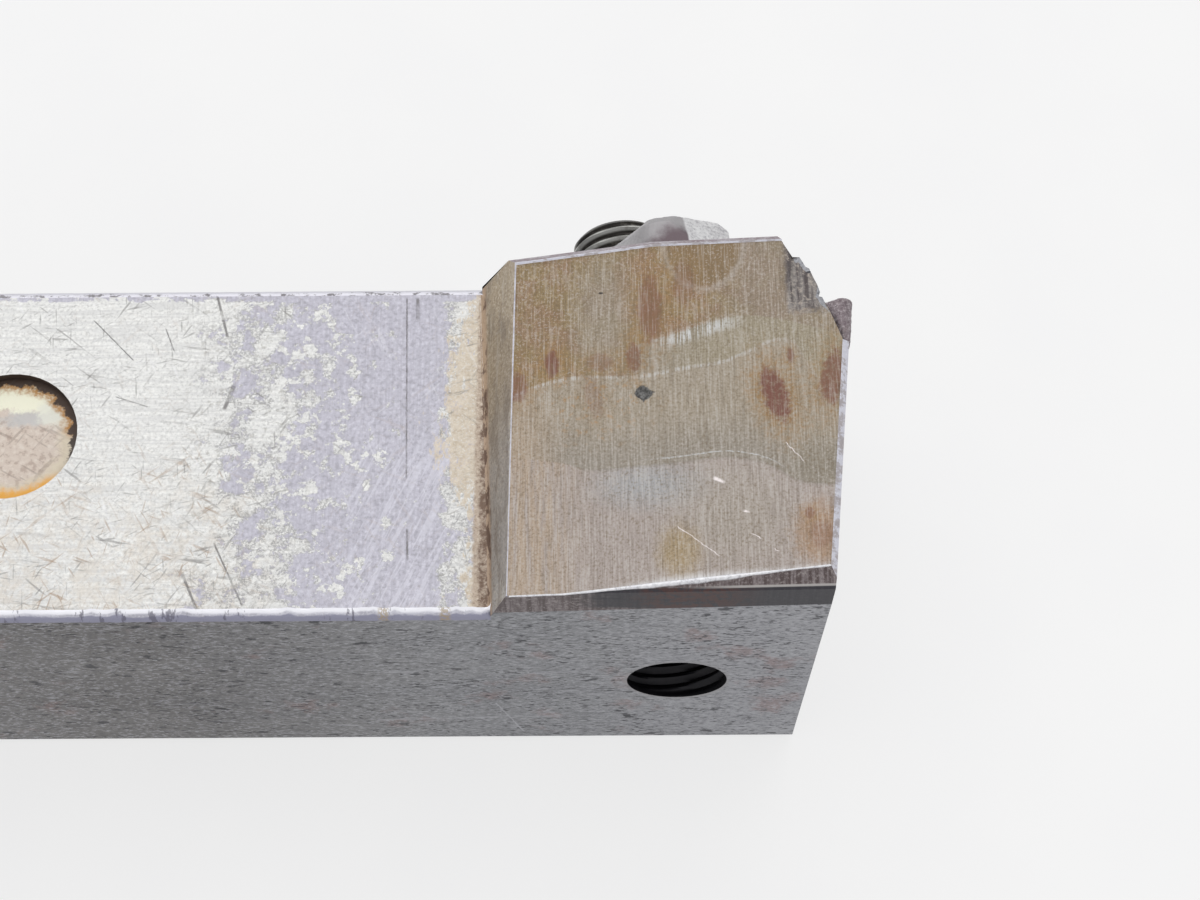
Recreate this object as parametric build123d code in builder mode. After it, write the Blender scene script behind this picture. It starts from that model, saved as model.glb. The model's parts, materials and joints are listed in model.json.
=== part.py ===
"""Square-shank turning tool holder with an offset head for facing.

The holder lies on its side: +X runs along the shank towards the cutting end, +Y is the tool's
own upward direction (the rake side) and +Z is the side that the head is offset to.
The origin lies on the resting side face, midway between the tool's bottom and top faces, under
the foot of the head's shoulder.  The triangular insert and its chip breaker are missing, the
offset side of the head has been ground by hand, and the thin wall beside the pocket is broken.
"""
from build123d import *

import os
from math import cos, radians, sin, sqrt, tan

# ---------------------------------------------------------------- driving sizes, millimetres
# Shank
shank_height = 32.0          # bottom face to top face, along Y
shank_width = 32.0           # resting side to offset side, along Z
tool_length = 170.0          # rear end to the tip of the insert, along X
edge_bevel = 0.8             # broken edges along the shank
rear_bevel = 1.5             # bevel round the rear end

# Round mark sunk into the offset side of the shank
mark_diameter = 12.2
mark_depth = 0.9
mark_setback = 42.0          # from the foot of the shoulder back along the shank
mark_rise = 17.3             # above the tool's bottom face

# Head, measured from the foot of the shoulder
tip_reach = 32.3             # insert tip in front of the shoulder
tip_offset = 8.15            # insert tip beyond the shank's offset side
foot_skew = 0.65             # the foot runs this far forward at the bottom, back at the top
shoulder_run_bottom = 1.5    # length of the shoulder's slope at the tool's bottom face
shoulder_run_top = 3.2       # the same at the top face
shoulder_fillet = 0.6        # rounded root of the shoulder
grind_rise_bottom = 4.0      # ground side above the shank's side, at the ridge, bottom face
grind_rise_top = 4.5         # the same at the top face
grind_slope_bottom = 0.077   # rise of the ground side per millimetre forward, bottom face
grind_slope_top = 0.052      # the same at the top face
end_clearance = 5.6          # degrees, end face leaning back towards the bottom
end_slant = 1.65             # degrees, end face leaning back towards the resting side
end_setback = -0.2           # end face behind the insert's tip
end_bevel = 0.7              # bright bevel between the ground side and the end face
top_bevel = 0.75             # bevel between the ground side and the head's top

# Lower edge of the ground side: a nearly upright relief, and a second bevel that widens forward
relief_start_rear = 0.75     # relief starts this far above the shank's side, at the shoulder
relief_start_front = 2.25    # the same at the end face
relief_lean = 4.0            # degrees
lower_bevel_start = 7.5      # behind this distance from the shoulder there is no second bevel
lower_bevel_height = 2.0     # height of the second bevel at the end face
lower_bevel_drop = 1.0       # how far it falls there, below the ground side

# Insert that the pocket is made for
insert_circle = 12.7         # inscribed circle of the triangle
insert_thickness = 4.76
insert_clearance = 11.0      # degrees, flanks of the insert and the shim
wall_lean = 5.0              # degrees, pocket walls, so that the insert bears at its upper edge
rake = 6.0                   # degrees, seat rising towards the cutting edge
lead_slant = 1.5             # degrees, cutting edge to the head's square
corner_relief = 1.5          # radius drilled in the pocket's inner corner
wall_over_insert = 3.8       # sloping top of the head above the insert, room for the chip breaker
crown_rise = 1.95            # level front of the head's top above the shank's top
head_spare = 10.0            # length and height that the head has before it is cut back

# Break in the thin wall between the pocket and the ground side, from the tip: back and down
break_outline = (            # behind the tip along X, below it along Y
    (6.5, -1.9), (6.0, -0.9), (5.3, 0.4), (4.7, 0.5), (4.2, 1.5),
    (3.6, 1.6), (3.3, 2.5), (3.0, 3.9), (3.2, 4.5),
)

# Shim and its screw
shim_thickness = 4.0
shim_outset = 0.3            # shim beyond the outline of the insert's underside
shim_corner = 0.4
shim_screw_diameter = 5.0
shim_screw_length = 12.0
shim_head_diameter = 7.6
shim_head_sink = 0.4         # screw head below the shim's top
shim_head_angle = 90.0       # degrees, countersink
shim_hole_clearance = 0.3
shim_socket = 3.0            # across flats
shim_socket_depth = 1.8

# Clamp screw: threads at both ends, shown as plain cylinders
screw_setback = 18.85        # axis behind the insert's tip, along the seat
screw_inset = 24.0           # axis below the insert's tip, towards the resting side
body_thread = 9.0            # tapped hole in the head, at its crests
clamp_thread = 9.5           # upper end of the screw, at its crests
thread_clearance = 0.06      # radial running clearance of either thread
neck_diameter = 7.6
neck_length = 3.0
screw_above_clamp = 4.7      # screw end above the clamp's top
screw_length = 33.0
screw_end_bevel = 0.7
screw_socket = 5.0           # across flats
screw_socket_depth = 5.0

# Clamp, its outline given from the screw's axis: forward, and to the offset side
clamp_gap = 0.2              # clamp above the head when it is screwed down
clamp_height = 7.65
hub_radius = 8.0
finger_corner = (1.8, 12.5)  # where the left flank turns into the finger's side
finger_round = 2.2
nose_left = (4.7, 11.75)     # left end of the nose's top edge
nose_right = (9.1, 9.5)      # right end of the nose's top edge
nose_heel = (10.1, 5.2)      # where the right flank turns back to the hub
nose_slope = 20.0            # degrees, upper part of the nose end leaning back
nose_face = 4.0              # height of the upright part of the nose end
nose_left_round = 0.4
nose_right_round = 1.0
heel_round = 3.0
flank_swing = 12.0           # degrees behind the offset side, where the left flank leaves the hub
flank_hollow = 0.15          # depth of the hollow in the left flank
tail_length = 11.0           # rear end of the clamp behind the screw's axis
tail_width = 9.0
tail_height = 5.0            # height of the clamp at its rear end
tail_round = 1.5
lug_length = 4.0             # lug that keeps the clamp from turning
lug_width = 6.0
lug_depth = 3.2
slot_clearance = 0.3
clamp_rim = 1.0              # height of the sloping rim round the clamp's top
rim_lean = 40.0              # degrees

# ---------------------------------------------------------------- derived places
bottom_y = -shank_height / 2
top_y = shank_height / 2
rear_x = tip_reach - tool_length
head_span = tip_reach + head_spare              # the head is made long and high, then cut back
head_rise = top_y + head_spare
insert_edge = insert_circle * sqrt(3)
flank_run = tan(radians(insert_clearance))      # inset of the insert's outline for each millimetre down
wall_run = tan(radians(wall_lean))              # the same for the pocket
seat_depth = insert_thickness + shim_thickness
pocket_growth = 1.6                             # carries the pocket out through the end and the side
beyond = 100.0                                  # clear of the whole tool

tip = Vector(tip_reach, top_y, shank_width + tip_offset)
forward = Vector(cos(radians(rake)), sin(radians(rake)), 0)
upward = Vector(-sin(radians(rake)), cos(radians(rake)), 0)
insert_top = Plane(origin=tip, x_dir=forward, z_dir=upward)
head_top = insert_top.offset(wall_over_insert)
pocket_floor = insert_top.offset(-seat_depth)


def seat_place(plane, forward_by, offset_by, rise=0.0):
    """Point in the model, measured on a seat plane forward, to the offset side and upwards."""
    return plane.from_local_coords((forward_by, -offset_by, rise))


screw_plane = Plane(origin=seat_place(head_top, -screw_setback, -screw_inset), x_dir=forward, z_dir=upward)
clamp_base = screw_plane.offset(clamp_gap)


def share(y, at_bottom, at_top):
    """Value at a height Y, running evenly from the bottom face to the top face."""
    return at_bottom + (at_top - at_bottom) * (y - bottom_y) / shank_height


def ridge(y):
    """X of the ridge where the shoulder meets the ground side, at a height Y."""
    return share(y, foot_skew + shoulder_run_bottom, shoulder_run_top - foot_skew)


def ground_side(x, y):
    """Z of the ground side of the head at a place X, Y."""
    rise = share(y, grind_rise_bottom, grind_rise_top)
    slope = share(y, grind_slope_bottom, grind_slope_top)
    return shank_width + rise + slope * (x - ridge(y))


def ground_place(x, y):
    """Point on the ground side of the head."""
    return Vector(x, y, ground_side(x, y))


def head_outline(y):
    """Outline of the head in X and Z at a height Y."""
    foot_x = share(y, foot_skew, -foot_skew)
    return (
        (foot_x, 0),
        (head_span, 0),
        (head_span, ground_side(head_span, y)),
        (ridge(y), ground_side(ridge(y), y)),
        (foot_x, shank_width),
    )


def facing(first, second, third):
    """Plane through three points, facing by the right-hand rule."""
    along = second - first
    return Plane(origin=first, x_dir=along, z_dir=along.cross(third - first))


def corner_cut(place, one, other, size):
    """Plane that bevels the edge of two faces, given by their outward normals, by about a size."""
    outward = one.normalized() + other.normalized()
    return Plane(origin=place - outward.normalized() * size * sqrt(0.5), z_dir=outward)


def insert_triangle(inset, growth=1.0):
    """Corners of the insert's outline on a seat plane: tip, other end of the edge, inner corner."""
    lead = radians(lead_slant)
    corners = [
        Vector(0, 0),
        Vector(-sin(lead), cos(lead)) * insert_edge,
        Vector(-sin(lead + radians(60)), cos(lead + radians(60))) * insert_edge,
    ]
    middle = (corners[0] + corners[1] + corners[2]) / 3
    inner = [middle + (corner - middle) * (1 - inset / (insert_circle / 2)) for corner in corners]
    return [inner[2] + (corner - inner[2]) * growth for corner in inner]


ground_low = ground_place(tip_reach, bottom_y)
ground_high = ground_place(tip_reach, top_y)
ground_normal = facing(ground_place(ridge(0), 0), ground_low, ground_high).z_dir
end_lean = tan(radians(end_clearance))
end_turn = tan(radians(end_slant))
end_face = Plane(origin=tip - Vector(end_setback, 0, 0), z_dir=(1, -end_lean, -end_turn))
crown = Plane(origin=(0, top_y + crown_rise, 0), x_dir=(1, 0, 0), z_dir=(0, 1, 0))
crown_x = tip_reach + (crown_rise * cos(radians(rake)) - wall_over_insert) / sin(radians(rake))
crown_corner = ground_place(crown_x, top_y + crown_rise)
front_x = tip_reach - end_setback - shank_height * end_lean

relief_rear = Vector(foot_skew, bottom_y, shank_width + relief_start_rear)
relief_front = Vector(front_x, bottom_y, shank_width + relief_start_front)
relief = facing(relief_rear, relief_front, relief_rear + Vector(0, tan(radians(relief_lean)), 1))
bevel_start = ground_place(lower_bevel_start, bottom_y + tan(radians(relief_lean)) * grind_rise_bottom)
bevel_high = ground_place(front_x, bottom_y + lower_bevel_height)
bevel_low = Vector(front_x, bevel_start.Y, ground_side(front_x, bottom_y) - lower_bevel_drop)
lower_bevel = facing(bevel_start, bevel_low, bevel_high)

shim_middle = sum(insert_triangle(0), Vector(0, 0)) / 3
shim_top = pocket_floor.offset(shim_thickness)
shim_screw_plane = Plane(origin=shim_top.from_local_coords(shim_middle), x_dir=forward, z_dir=upward)
shim_screw_section = Plane(origin=shim_screw_plane.origin, x_dir=forward, z_dir=forward.cross(upward))
shim_cone_height = shim_head_diameter / 2 - shim_head_sink - shim_screw_diameter / 2

# ---------------------------------------------------------------- holder body
with BuildPart() as holder_body:
    with BuildSketch(Plane.XZ.offset(-bottom_y)):
        with BuildLine():
            Polyline(*head_outline(bottom_y), close=True)
        make_face()
    with BuildSketch(Plane.XZ.offset(-head_rise)):
        with BuildLine():
            Polyline(*head_outline(head_rise), close=True)
        make_face()
    loft(ruled=True)
    split(bisect_by=Plane(origin=(-foot_skew, 0, 0), z_dir=(-1, 0, 0)), keep=Keep.BOTTOM)
    split(bisect_by=end_face, keep=Keep.BOTTOM)
    split(bisect_by=head_top, keep=Keep.BOTTOM)
    split(bisect_by=crown, keep=Keep.BOTTOM)
    split(bisect_by=relief, keep=Keep.BOTTOM)
    split(bisect_by=lower_bevel, keep=Keep.BOTTOM)
    end_corner = ground_place(end_face.origin.X, top_y)
    split(bisect_by=corner_cut(end_corner, ground_normal, end_face.z_dir, end_bevel), keep=Keep.BOTTOM)
    for outward in (upward, crown.z_dir):
        split(bisect_by=corner_cut(crown_corner, ground_normal, outward, top_bevel), keep=Keep.BOTTOM)
    for side in (bottom_y, top_y):
        low_corner = Vector(0, side, 0)
        low_cut = corner_cut(low_corner, Vector(0, side, 0), Vector(0, 0, -1), edge_bevel)
        split(bisect_by=low_cut, keep=Keep.BOTTOM)

    with BuildSketch(Plane.YZ.offset(rear_x)) as shank_section:
        with Locations((0, shank_width / 2)):
            Rectangle(shank_height, shank_width)
        chamfer(shank_section.vertices(), length=edge_bevel)
    extrude(amount=foot_skew + shoulder_run_bottom - rear_x)
    for outward in (Axis.Y.direction, -Axis.Y.direction, Axis.Z.direction, -Axis.Z.direction):
        rear_middle = Vector(rear_x, 0, shank_width / 2)
        rear_corner = rear_middle + Vector(0, outward.Y * top_y, outward.Z * shank_width / 2)
        split(bisect_by=corner_cut(rear_corner, Vector(-1, 0, 0), outward, rear_bevel), keep=Keep.BOTTOM)

    # rounded root of the shoulder
    root = holder_body.edges().sort_by_distance((0, 0, shank_width))[0]
    fillet(root, radius=shoulder_fillet)

    # round mark sunk into the shank
    with Locations(Plane.XY.offset(shank_width)):
        with Locations((-mark_setback, bottom_y + mark_rise)):
            Hole(radius=mark_diameter / 2, depth=mark_depth)

    # pocket for the shim and the insert, with a drilled inner corner
    with BuildSketch(pocket_floor):
        with BuildLine():
            Polyline(*insert_triangle(seat_depth * wall_run, pocket_growth), close=True)
        make_face()
    extrude(amount=seat_depth + 2 * wall_over_insert, taper=-wall_lean, mode=Mode.SUBTRACT)
    with BuildSketch(pocket_floor):
        with Locations(insert_triangle(seat_depth * wall_run)[2]):
            Circle(corner_relief)
    extrude(amount=seat_depth + 2 * wall_over_insert, mode=Mode.SUBTRACT)

    # torn wall beside the pocket, and the flutes beside the break
    with BuildSketch(Plane.XY.offset(shank_width)):
        with BuildLine():
            torn = [(tip_reach - back, top_y - down) for back, down in break_outline]
            torn.extend([(head_span, torn[-1][1]), (head_span, head_rise), (torn[0][0], head_rise)])
            Polyline(*torn, close=True)
        make_face()
    extrude(amount=2 * tip_offset, mode=Mode.SUBTRACT)

    # tapped hole for the clamp screw, slot for the clamp's lug, hole for the shim screw
    with BuildSketch(screw_plane):
        Circle(body_thread / 2)
    extrude(amount=beyond, both=True, mode=Mode.SUBTRACT)
    with BuildSketch(screw_plane):
        with Locations((tail_round + lug_length / 2 - tail_length, 0)):
            Rectangle(lug_length + 2 * slot_clearance, lug_width + 2 * slot_clearance)
    extrude(amount=-(lug_depth + slot_clearance), mode=Mode.SUBTRACT)
    with BuildSketch(shim_screw_plane.offset(-shim_thickness)):
        Circle(shim_screw_diameter / 2 + thread_clearance)
    extrude(amount=shim_thickness - shim_screw_length - shim_hole_clearance, mode=Mode.SUBTRACT)

# ---------------------------------------------------------------- shim
with BuildPart() as shim:
    with BuildSketch(pocket_floor) as shim_outline:
        with BuildLine():
            Polyline(*insert_triangle(seat_depth * flank_run - shim_outset), close=True)
        make_face()
        fillet(shim_outline.vertices(), radius=shim_corner)
    extrude(amount=shim_thickness, taper=-insert_clearance)
    with Locations(shim_screw_plane):
        CounterSinkHole(
            radius=shim_screw_diameter / 2 + shim_hole_clearance,
            counter_sink_radius=shim_head_diameter / 2 + shim_hole_clearance,
            counter_sink_angle=shim_head_angle,
        )

# ---------------------------------------------------------------- shim screw
with BuildPart() as shim_screw:
    with BuildSketch(shim_screw_section) as screw_half:
        with BuildLine():
            Polyline(
                (0, -shim_head_sink),
                (shim_head_diameter / 2 - shim_head_sink, -shim_head_sink),
                (shim_screw_diameter / 2, -shim_head_sink - shim_cone_height),
                (shim_screw_diameter / 2, -shim_screw_length),
                (0, -shim_screw_length),
                close=True,
            )
        make_face()
    revolve(axis=Axis(shim_screw_plane.origin, upward))
    with BuildSketch(shim_screw_plane.offset(-shim_head_sink)):
        RegularPolygon(radius=shim_socket / 2, side_count=6, major_radius=False)
    extrude(amount=-shim_socket_depth, mode=Mode.SUBTRACT)

# ---------------------------------------------------------------- clamp
nose_line = (Vector(nose_right) - Vector(nose_left)).normalized()
nose_outward = Vector(-nose_line.Y, nose_line.X)
nose_spread = (clamp_height - nose_face) * tan(radians(nose_slope))
nose_base = [Vector(end) + nose_outward * nose_spread for end in (nose_left, nose_right)]
side_end = nose_base[0] + nose_line * ((finger_corner[1] - nose_base[0].Y) / nose_line.Y)
nose_corners = (Vector(finger_corner), side_end, nose_base[1], Vector(nose_heel))
nose_rounds = (finger_round, nose_left_round, nose_right_round, heel_round)
nose_out_3d = forward * nose_outward.X + Axis.Z.direction * nose_outward.Y
nose_cut = Plane(
    origin=seat_place(clamp_base, *nose_left, clamp_height),
    z_dir=nose_out_3d * cos(radians(nose_slope)) + upward * sin(radians(nose_slope)),
)
flank_start = Vector(-sin(radians(flank_swing)), cos(radians(flank_swing))) * hub_radius
tail_slope = Plane(
    origin=seat_place(clamp_base, -tail_length, 0, tail_height),
    z_dir=upward * (tail_length - clamp_thread / 2) - forward * (clamp_height - tail_height),
)

with BuildPart() as clamp:
    with BuildSketch(clamp_base) as clamp_outline:
        Circle(hub_radius)
        with BuildLine():
            flank_end = (nose_corners[0].X, -nose_corners[0].Y)
            SagittaArc((flank_start.X, -flank_start.Y), flank_end, flank_hollow)
            Polyline(
                flank_end,
                *[(corner.X, -corner.Y) for corner in nose_corners[1:]],
                (hub_radius * cos(radians(flank_swing)), hub_radius * sin(radians(flank_swing))),
                (0, 0),
                (flank_start.X, -flank_start.Y),
            )
        make_face()
        with Locations((-tail_length / 2, 0)):
            Rectangle(tail_length, tail_width)
        for corner, radius in zip(nose_corners, nose_rounds):
            fillet(clamp_outline.vertices().sort_by_distance((corner.X, -corner.Y))[0], radius=radius)
        fillet(clamp_outline.vertices().sort_by(Axis.X)[:2], radius=tail_round)
    extrude(amount=clamp_height - clamp_rim)
    extrude(clamp.faces().sort_by(Axis(clamp_base.origin, upward))[-1], amount=clamp_rim, taper=rim_lean)
    split(bisect_by=nose_cut, keep=Keep.BOTTOM)
    split(bisect_by=tail_slope, keep=Keep.BOTTOM)
    with BuildSketch(clamp_base):
        with Locations((tail_round + lug_length / 2 - tail_length, 0)):
            Rectangle(lug_length, lug_width)
    extrude(amount=-lug_depth)
    with BuildSketch(clamp_base):
        Circle(clamp_thread / 2 + thread_clearance)
    extrude(amount=2 * clamp_height, mode=Mode.SUBTRACT)

# ---------------------------------------------------------------- clamp screw
screw_end = clamp_gap + clamp_height + screw_above_clamp
with BuildPart() as clamp_screw:
    with BuildSketch(screw_plane.offset(screw_end)):
        Circle(clamp_thread / 2)
    extrude(amount=-screw_end + clamp_gap / 2)
    chamfer(clamp_screw.edges().sort_by(Axis(screw_plane.origin, upward))[-1], length=screw_end_bevel)
    with BuildSketch(screw_plane.offset(clamp_gap / 2)):
        Circle(neck_diameter / 2)
    extrude(amount=-neck_length)
    with BuildSketch(screw_plane.offset(clamp_gap / 2 - neck_length)):
        Circle(body_thread / 2 - thread_clearance)
    extrude(amount=screw_end - clamp_gap / 2 + neck_length - screw_length)
    chamfer(clamp_screw.edges().sort_by(Axis(screw_plane.origin, upward))[0], length=screw_end_bevel)
    with BuildSketch(screw_plane.offset(screw_end)):
        RegularPolygon(radius=screw_socket / 2, side_count=6, major_radius=False)
    extrude(amount=-screw_socket_depth, mode=Mode.SUBTRACT)

# ---------------------------------------------------------------- files
os.makedirs("parts", exist_ok=True)
holder_body.part.label = "holder_body"
export_step(holder_body.part, "parts/holder_body.step")
shim.part.label = "shim"
export_step(shim.part, "parts/shim.step")
shim_screw.part.label = "shim_screw"
export_step(shim_screw.part, "parts/shim_screw.step")
clamp.part.label = "clamp"
export_step(clamp.part, "parts/clamp.step")
clamp_screw.part.label = "clamp_screw"
export_step(clamp_screw.part, "parts/clamp_screw.step")
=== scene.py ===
"""Dressed model of a worn facing tool holder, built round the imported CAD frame."""
import json
import logging
import math
from dataclasses import dataclass, field
from enum import Enum
from functools import partial, reduce
from typing import Callable, Iterable

import bpy
from mathutils import Matrix, Vector, noise


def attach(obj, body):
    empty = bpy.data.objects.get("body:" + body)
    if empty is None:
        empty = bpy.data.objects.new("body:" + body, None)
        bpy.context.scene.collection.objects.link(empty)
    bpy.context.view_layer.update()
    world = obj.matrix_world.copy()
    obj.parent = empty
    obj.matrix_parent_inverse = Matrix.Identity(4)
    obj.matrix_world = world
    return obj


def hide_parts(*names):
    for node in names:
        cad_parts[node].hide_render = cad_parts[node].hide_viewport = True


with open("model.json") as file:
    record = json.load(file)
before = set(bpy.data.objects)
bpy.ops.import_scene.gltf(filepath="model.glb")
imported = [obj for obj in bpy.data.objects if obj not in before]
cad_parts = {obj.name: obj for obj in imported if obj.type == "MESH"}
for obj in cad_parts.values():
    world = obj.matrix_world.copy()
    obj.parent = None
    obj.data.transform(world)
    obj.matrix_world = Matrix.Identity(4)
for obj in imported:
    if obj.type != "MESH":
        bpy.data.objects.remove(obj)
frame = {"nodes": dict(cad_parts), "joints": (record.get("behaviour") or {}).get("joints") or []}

log = logging.getLogger("tool_holder")

MM = 0.001
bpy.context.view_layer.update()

RAKE = math.radians(6)
UPWARD = Vector((-math.sin(RAKE), math.cos(RAKE), 0))
FORWARD = Vector((UPWARD.y, -UPWARD.x, 0))
ALONG, ACROSS, AHEAD = Vector((1, 0, 0)), Vector((0, 1, 0)), Vector((0, 0, 1))
SCREW_FOOT = Vector(frame["joints"][1]["pos_m"])
SHANK_SIDE = 32.0 * MM
HALF_HEIGHT = 16.0 * MM
THREAD_PITCH = 1.058 * MM
BORE_RADIUS = 4.5 * MM
EDGE_ROUND = 0.8 * MM
MARK_PLACE = (-42.0, 1.3)
PIT_PLACE = (13.7, 2.45)
PIT_SLOPES = (1.1, 1.4)
UNSTRETCHED = (1, 1, 1)
UNSHIFTED = (0, 0, 0)

Colour = tuple[int, int, int]
Pair = tuple[float, float]
Place = tuple[float, float, float]
Piece = bpy.types.Object
Face = bpy.types.MeshPolygon
Material = bpy.types.Material
Socket = bpy.types.NodeSocket
Value = float | Socket
Shade = Colour | Socket
Layer = tuple
FaceTest = Callable[[Face], bool]


class Body(Enum):
    """Moving bodies of the frame."""

    HOLDER = "holder"
    CLAMP = "clamp"
    SCREW = "clamp_screw"


class Slot(Enum):
    """Material slots of the record."""

    BODY = "body_steel"
    CLAMP = "clamp_steel"
    SCREW = "screw_steel"
    SHIM = "shim_carbide"


def linear(colour: Colour) -> tuple[float, ...]:
    """Turns a display colour of 0 to 255 into the linear colour that a shader takes."""
    channels = (value / 255 for value in colour)
    return tuple(c / 12.92 if c <= 0.04045 else ((c + 0.055) / 1.055) ** 2.4 for c in channels)


# ------------------------------------------------------------------ modelling helpers
def deselect() -> None:
    """Leaves edit mode and deselects every object."""
    if bpy.context.object and bpy.context.object.mode != "OBJECT":
        bpy.ops.object.mode_set(mode="OBJECT")
    bpy.ops.object.select_all(action="DESELECT")


def activate(piece: Piece) -> None:
    """Selects one piece alone and makes it the active object."""
    deselect()
    piece.select_set(True)
    bpy.context.view_layer.objects.active = piece


def add_object(name: str, data: bpy.types.ID) -> Piece:
    """Adds an object with the given data to the scene, at the origin."""
    piece = bpy.data.objects.new(name, data)
    bpy.context.scene.collection.objects.link(piece)
    return piece


def copy_node(node: str, name: str) -> Piece:
    """Copies a CAD node's mesh into a new piece and joins its loose triangles into faces.

    Args:
        node: name of the CAD node.
        name: name of the new piece.

    Returns:
        The new piece, at the origin.
    """
    piece = add_object(name, frame["nodes"][node].data.copy())
    piece.data.materials.clear()
    activate(piece)
    bpy.ops.object.mode_set(mode="EDIT")
    bpy.ops.mesh.select_all(action="SELECT")
    bpy.ops.mesh.remove_doubles(threshold=0.002 * MM)
    bpy.ops.mesh.dissolve_limited(angle_limit=math.radians(0.3))
    bpy.ops.object.mode_set(mode="OBJECT")
    return piece


def select_faces(piece: Piece, wanted: FaceTest) -> None:
    """Selects the faces of a piece that a test accepts, and nothing else."""
    bpy.context.tool_settings.mesh_select_mode = (False, False, True)
    mesh = piece.data
    for elements in (mesh.vertices, mesh.edges):
        elements.foreach_set("select", [False] * len(elements))
    for face in mesh.polygons:
        face.select = wanted(face)


def slice_faces(
    piece: Piece, wanted: FaceTest, normal: Vector, start: float, stop: float, step: float
) -> None:
    """Cuts the chosen faces of a piece with evenly spaced planes.

    Args:
        piece: the mesh object.
        wanted: test of a face.
        normal: direction that the planes face.
        start: distance of the first plane along the normal.
        stop: distance that no plane passes.
        step: spacing of the planes.
    """
    activate(piece)
    select_faces(piece, wanted)
    bpy.ops.object.mode_set(mode="EDIT")
    bpy.ops.mesh.hide(unselected=True)
    for index in range(math.ceil((stop - start) / step)):
        bpy.ops.mesh.select_all(action="SELECT")
        bpy.ops.mesh.bisect(plane_co=normal * (start + index * step), plane_no=normal)
    bpy.ops.mesh.reveal(select=False)
    bpy.ops.object.mode_set(mode="OBJECT")


def apply_modifiers(piece: Piece) -> None:
    """Applies all modifiers of a piece in order."""
    activate(piece)
    for modifier in list(piece.modifiers):
        bpy.ops.object.modifier_apply(modifier=modifier.name)


def smooth(piece: Piece, angle: float) -> None:
    """Shades a piece smooth wherever its faces meet at less than an angle in degrees."""
    activate(piece)
    bpy.ops.object.shade_smooth_by_angle(angle=math.radians(angle))


def clamped(value: float) -> float:
    """Value held between 0 and 1."""
    return min(1.0, max(0.0, value))


def ripple(place: Vector, size_mm: float, shift: float = 0.0) -> float:
    """Smooth noise between about -1 and 1, with features of a given size in millimetres."""
    return noise.noise(place / (size_mm * MM) + Vector((shift, 0, 0)))


def from_axis(place: Vector) -> tuple[Vector, float, float]:
    """Splits a place into its parts round the screw's axis.

    Args:
        place: a point of the model.

    Returns:
        The arm from the axis, the distance along the axis, and the angle round it.
    """
    off = place - SCREW_FOOT
    along = off.dot(UPWARD)
    arm = off - along * UPWARD
    return arm, along, math.atan2(arm.z, arm.dot(FORWARD))


def thread_dip(along: float, angle: float) -> float:
    """Share of the thread's depth at a place, 0 on a crest and 1 in a root.

    Args:
        along: distance along the screw's axis.
        angle: angle round the axis, in radians.

    Returns:
        The share, with rounded crests and roots.
    """
    phase = (along / THREAD_PITCH - angle / math.tau) % 1.0
    return clamped(1.35 * (1 - abs(2 * phase - 1)) - 0.15)


def seat(piece: Piece, body: Body, slot: Slot, *replaced: str) -> None:
    """Seats a finished piece on its body and hides the CAD parts that it replaces."""
    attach(piece, body.value)
    if replaced:
        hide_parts(*replaced)
    log.info("%s rides on %s, %d faces", piece.name, body.value, len(piece.data.polygons))


# ------------------------------------------------------------------ nodes
class Tree:
    """Node tree laid out from code. A value is a number, a display colour or a socket."""

    def __init__(self, tree: bpy.types.NodeTree) -> None:
        """Starts with an empty tree."""
        self.tree = tree
        tree.nodes.clear()

    def node(self, kind: str, inputs: Iterable = (), **settings) -> bpy.types.Node:
        """Adds a node, sets its properties and feeds its inputs.

        Args:
            kind: the node's type, without the words every type starts with.
            inputs: pairs of an input's name or number and its value.
            settings: values of the node's properties.

        Returns:
            The node.
        """
        node = self.tree.nodes.new("ShaderNode" + kind)
        for key, value in settings.items():
            setattr(node, key, value)
        for key, value in inputs:
            socket = node.inputs[key]
            if isinstance(value, Socket):
                self.tree.links.new(value, socket)
            else:
                socket.default_value = (*linear(value), 1.0) if socket.type == "RGBA" else value
        return node

    def math(self, kind: str, *values: Value) -> Socket:
        """Arithmetic on values."""
        return self.node("Math", enumerate(values), operation=kind).outputs[0]

    def most(self, *values: Value) -> Value:
        """Largest of any number of values."""
        return reduce(partial(self.math, "MAXIMUM"), values)

    def seen_rays(self) -> Socket:
        """Value that is 1 for what the camera sees straight, in a reflection or through glass."""
        rays = self.node("LightPath").outputs
        return self.most(*(rays[kind] for kind in ("Is Camera Ray", "Is Glossy Ray", "Is Transmission Ray")))


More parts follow.
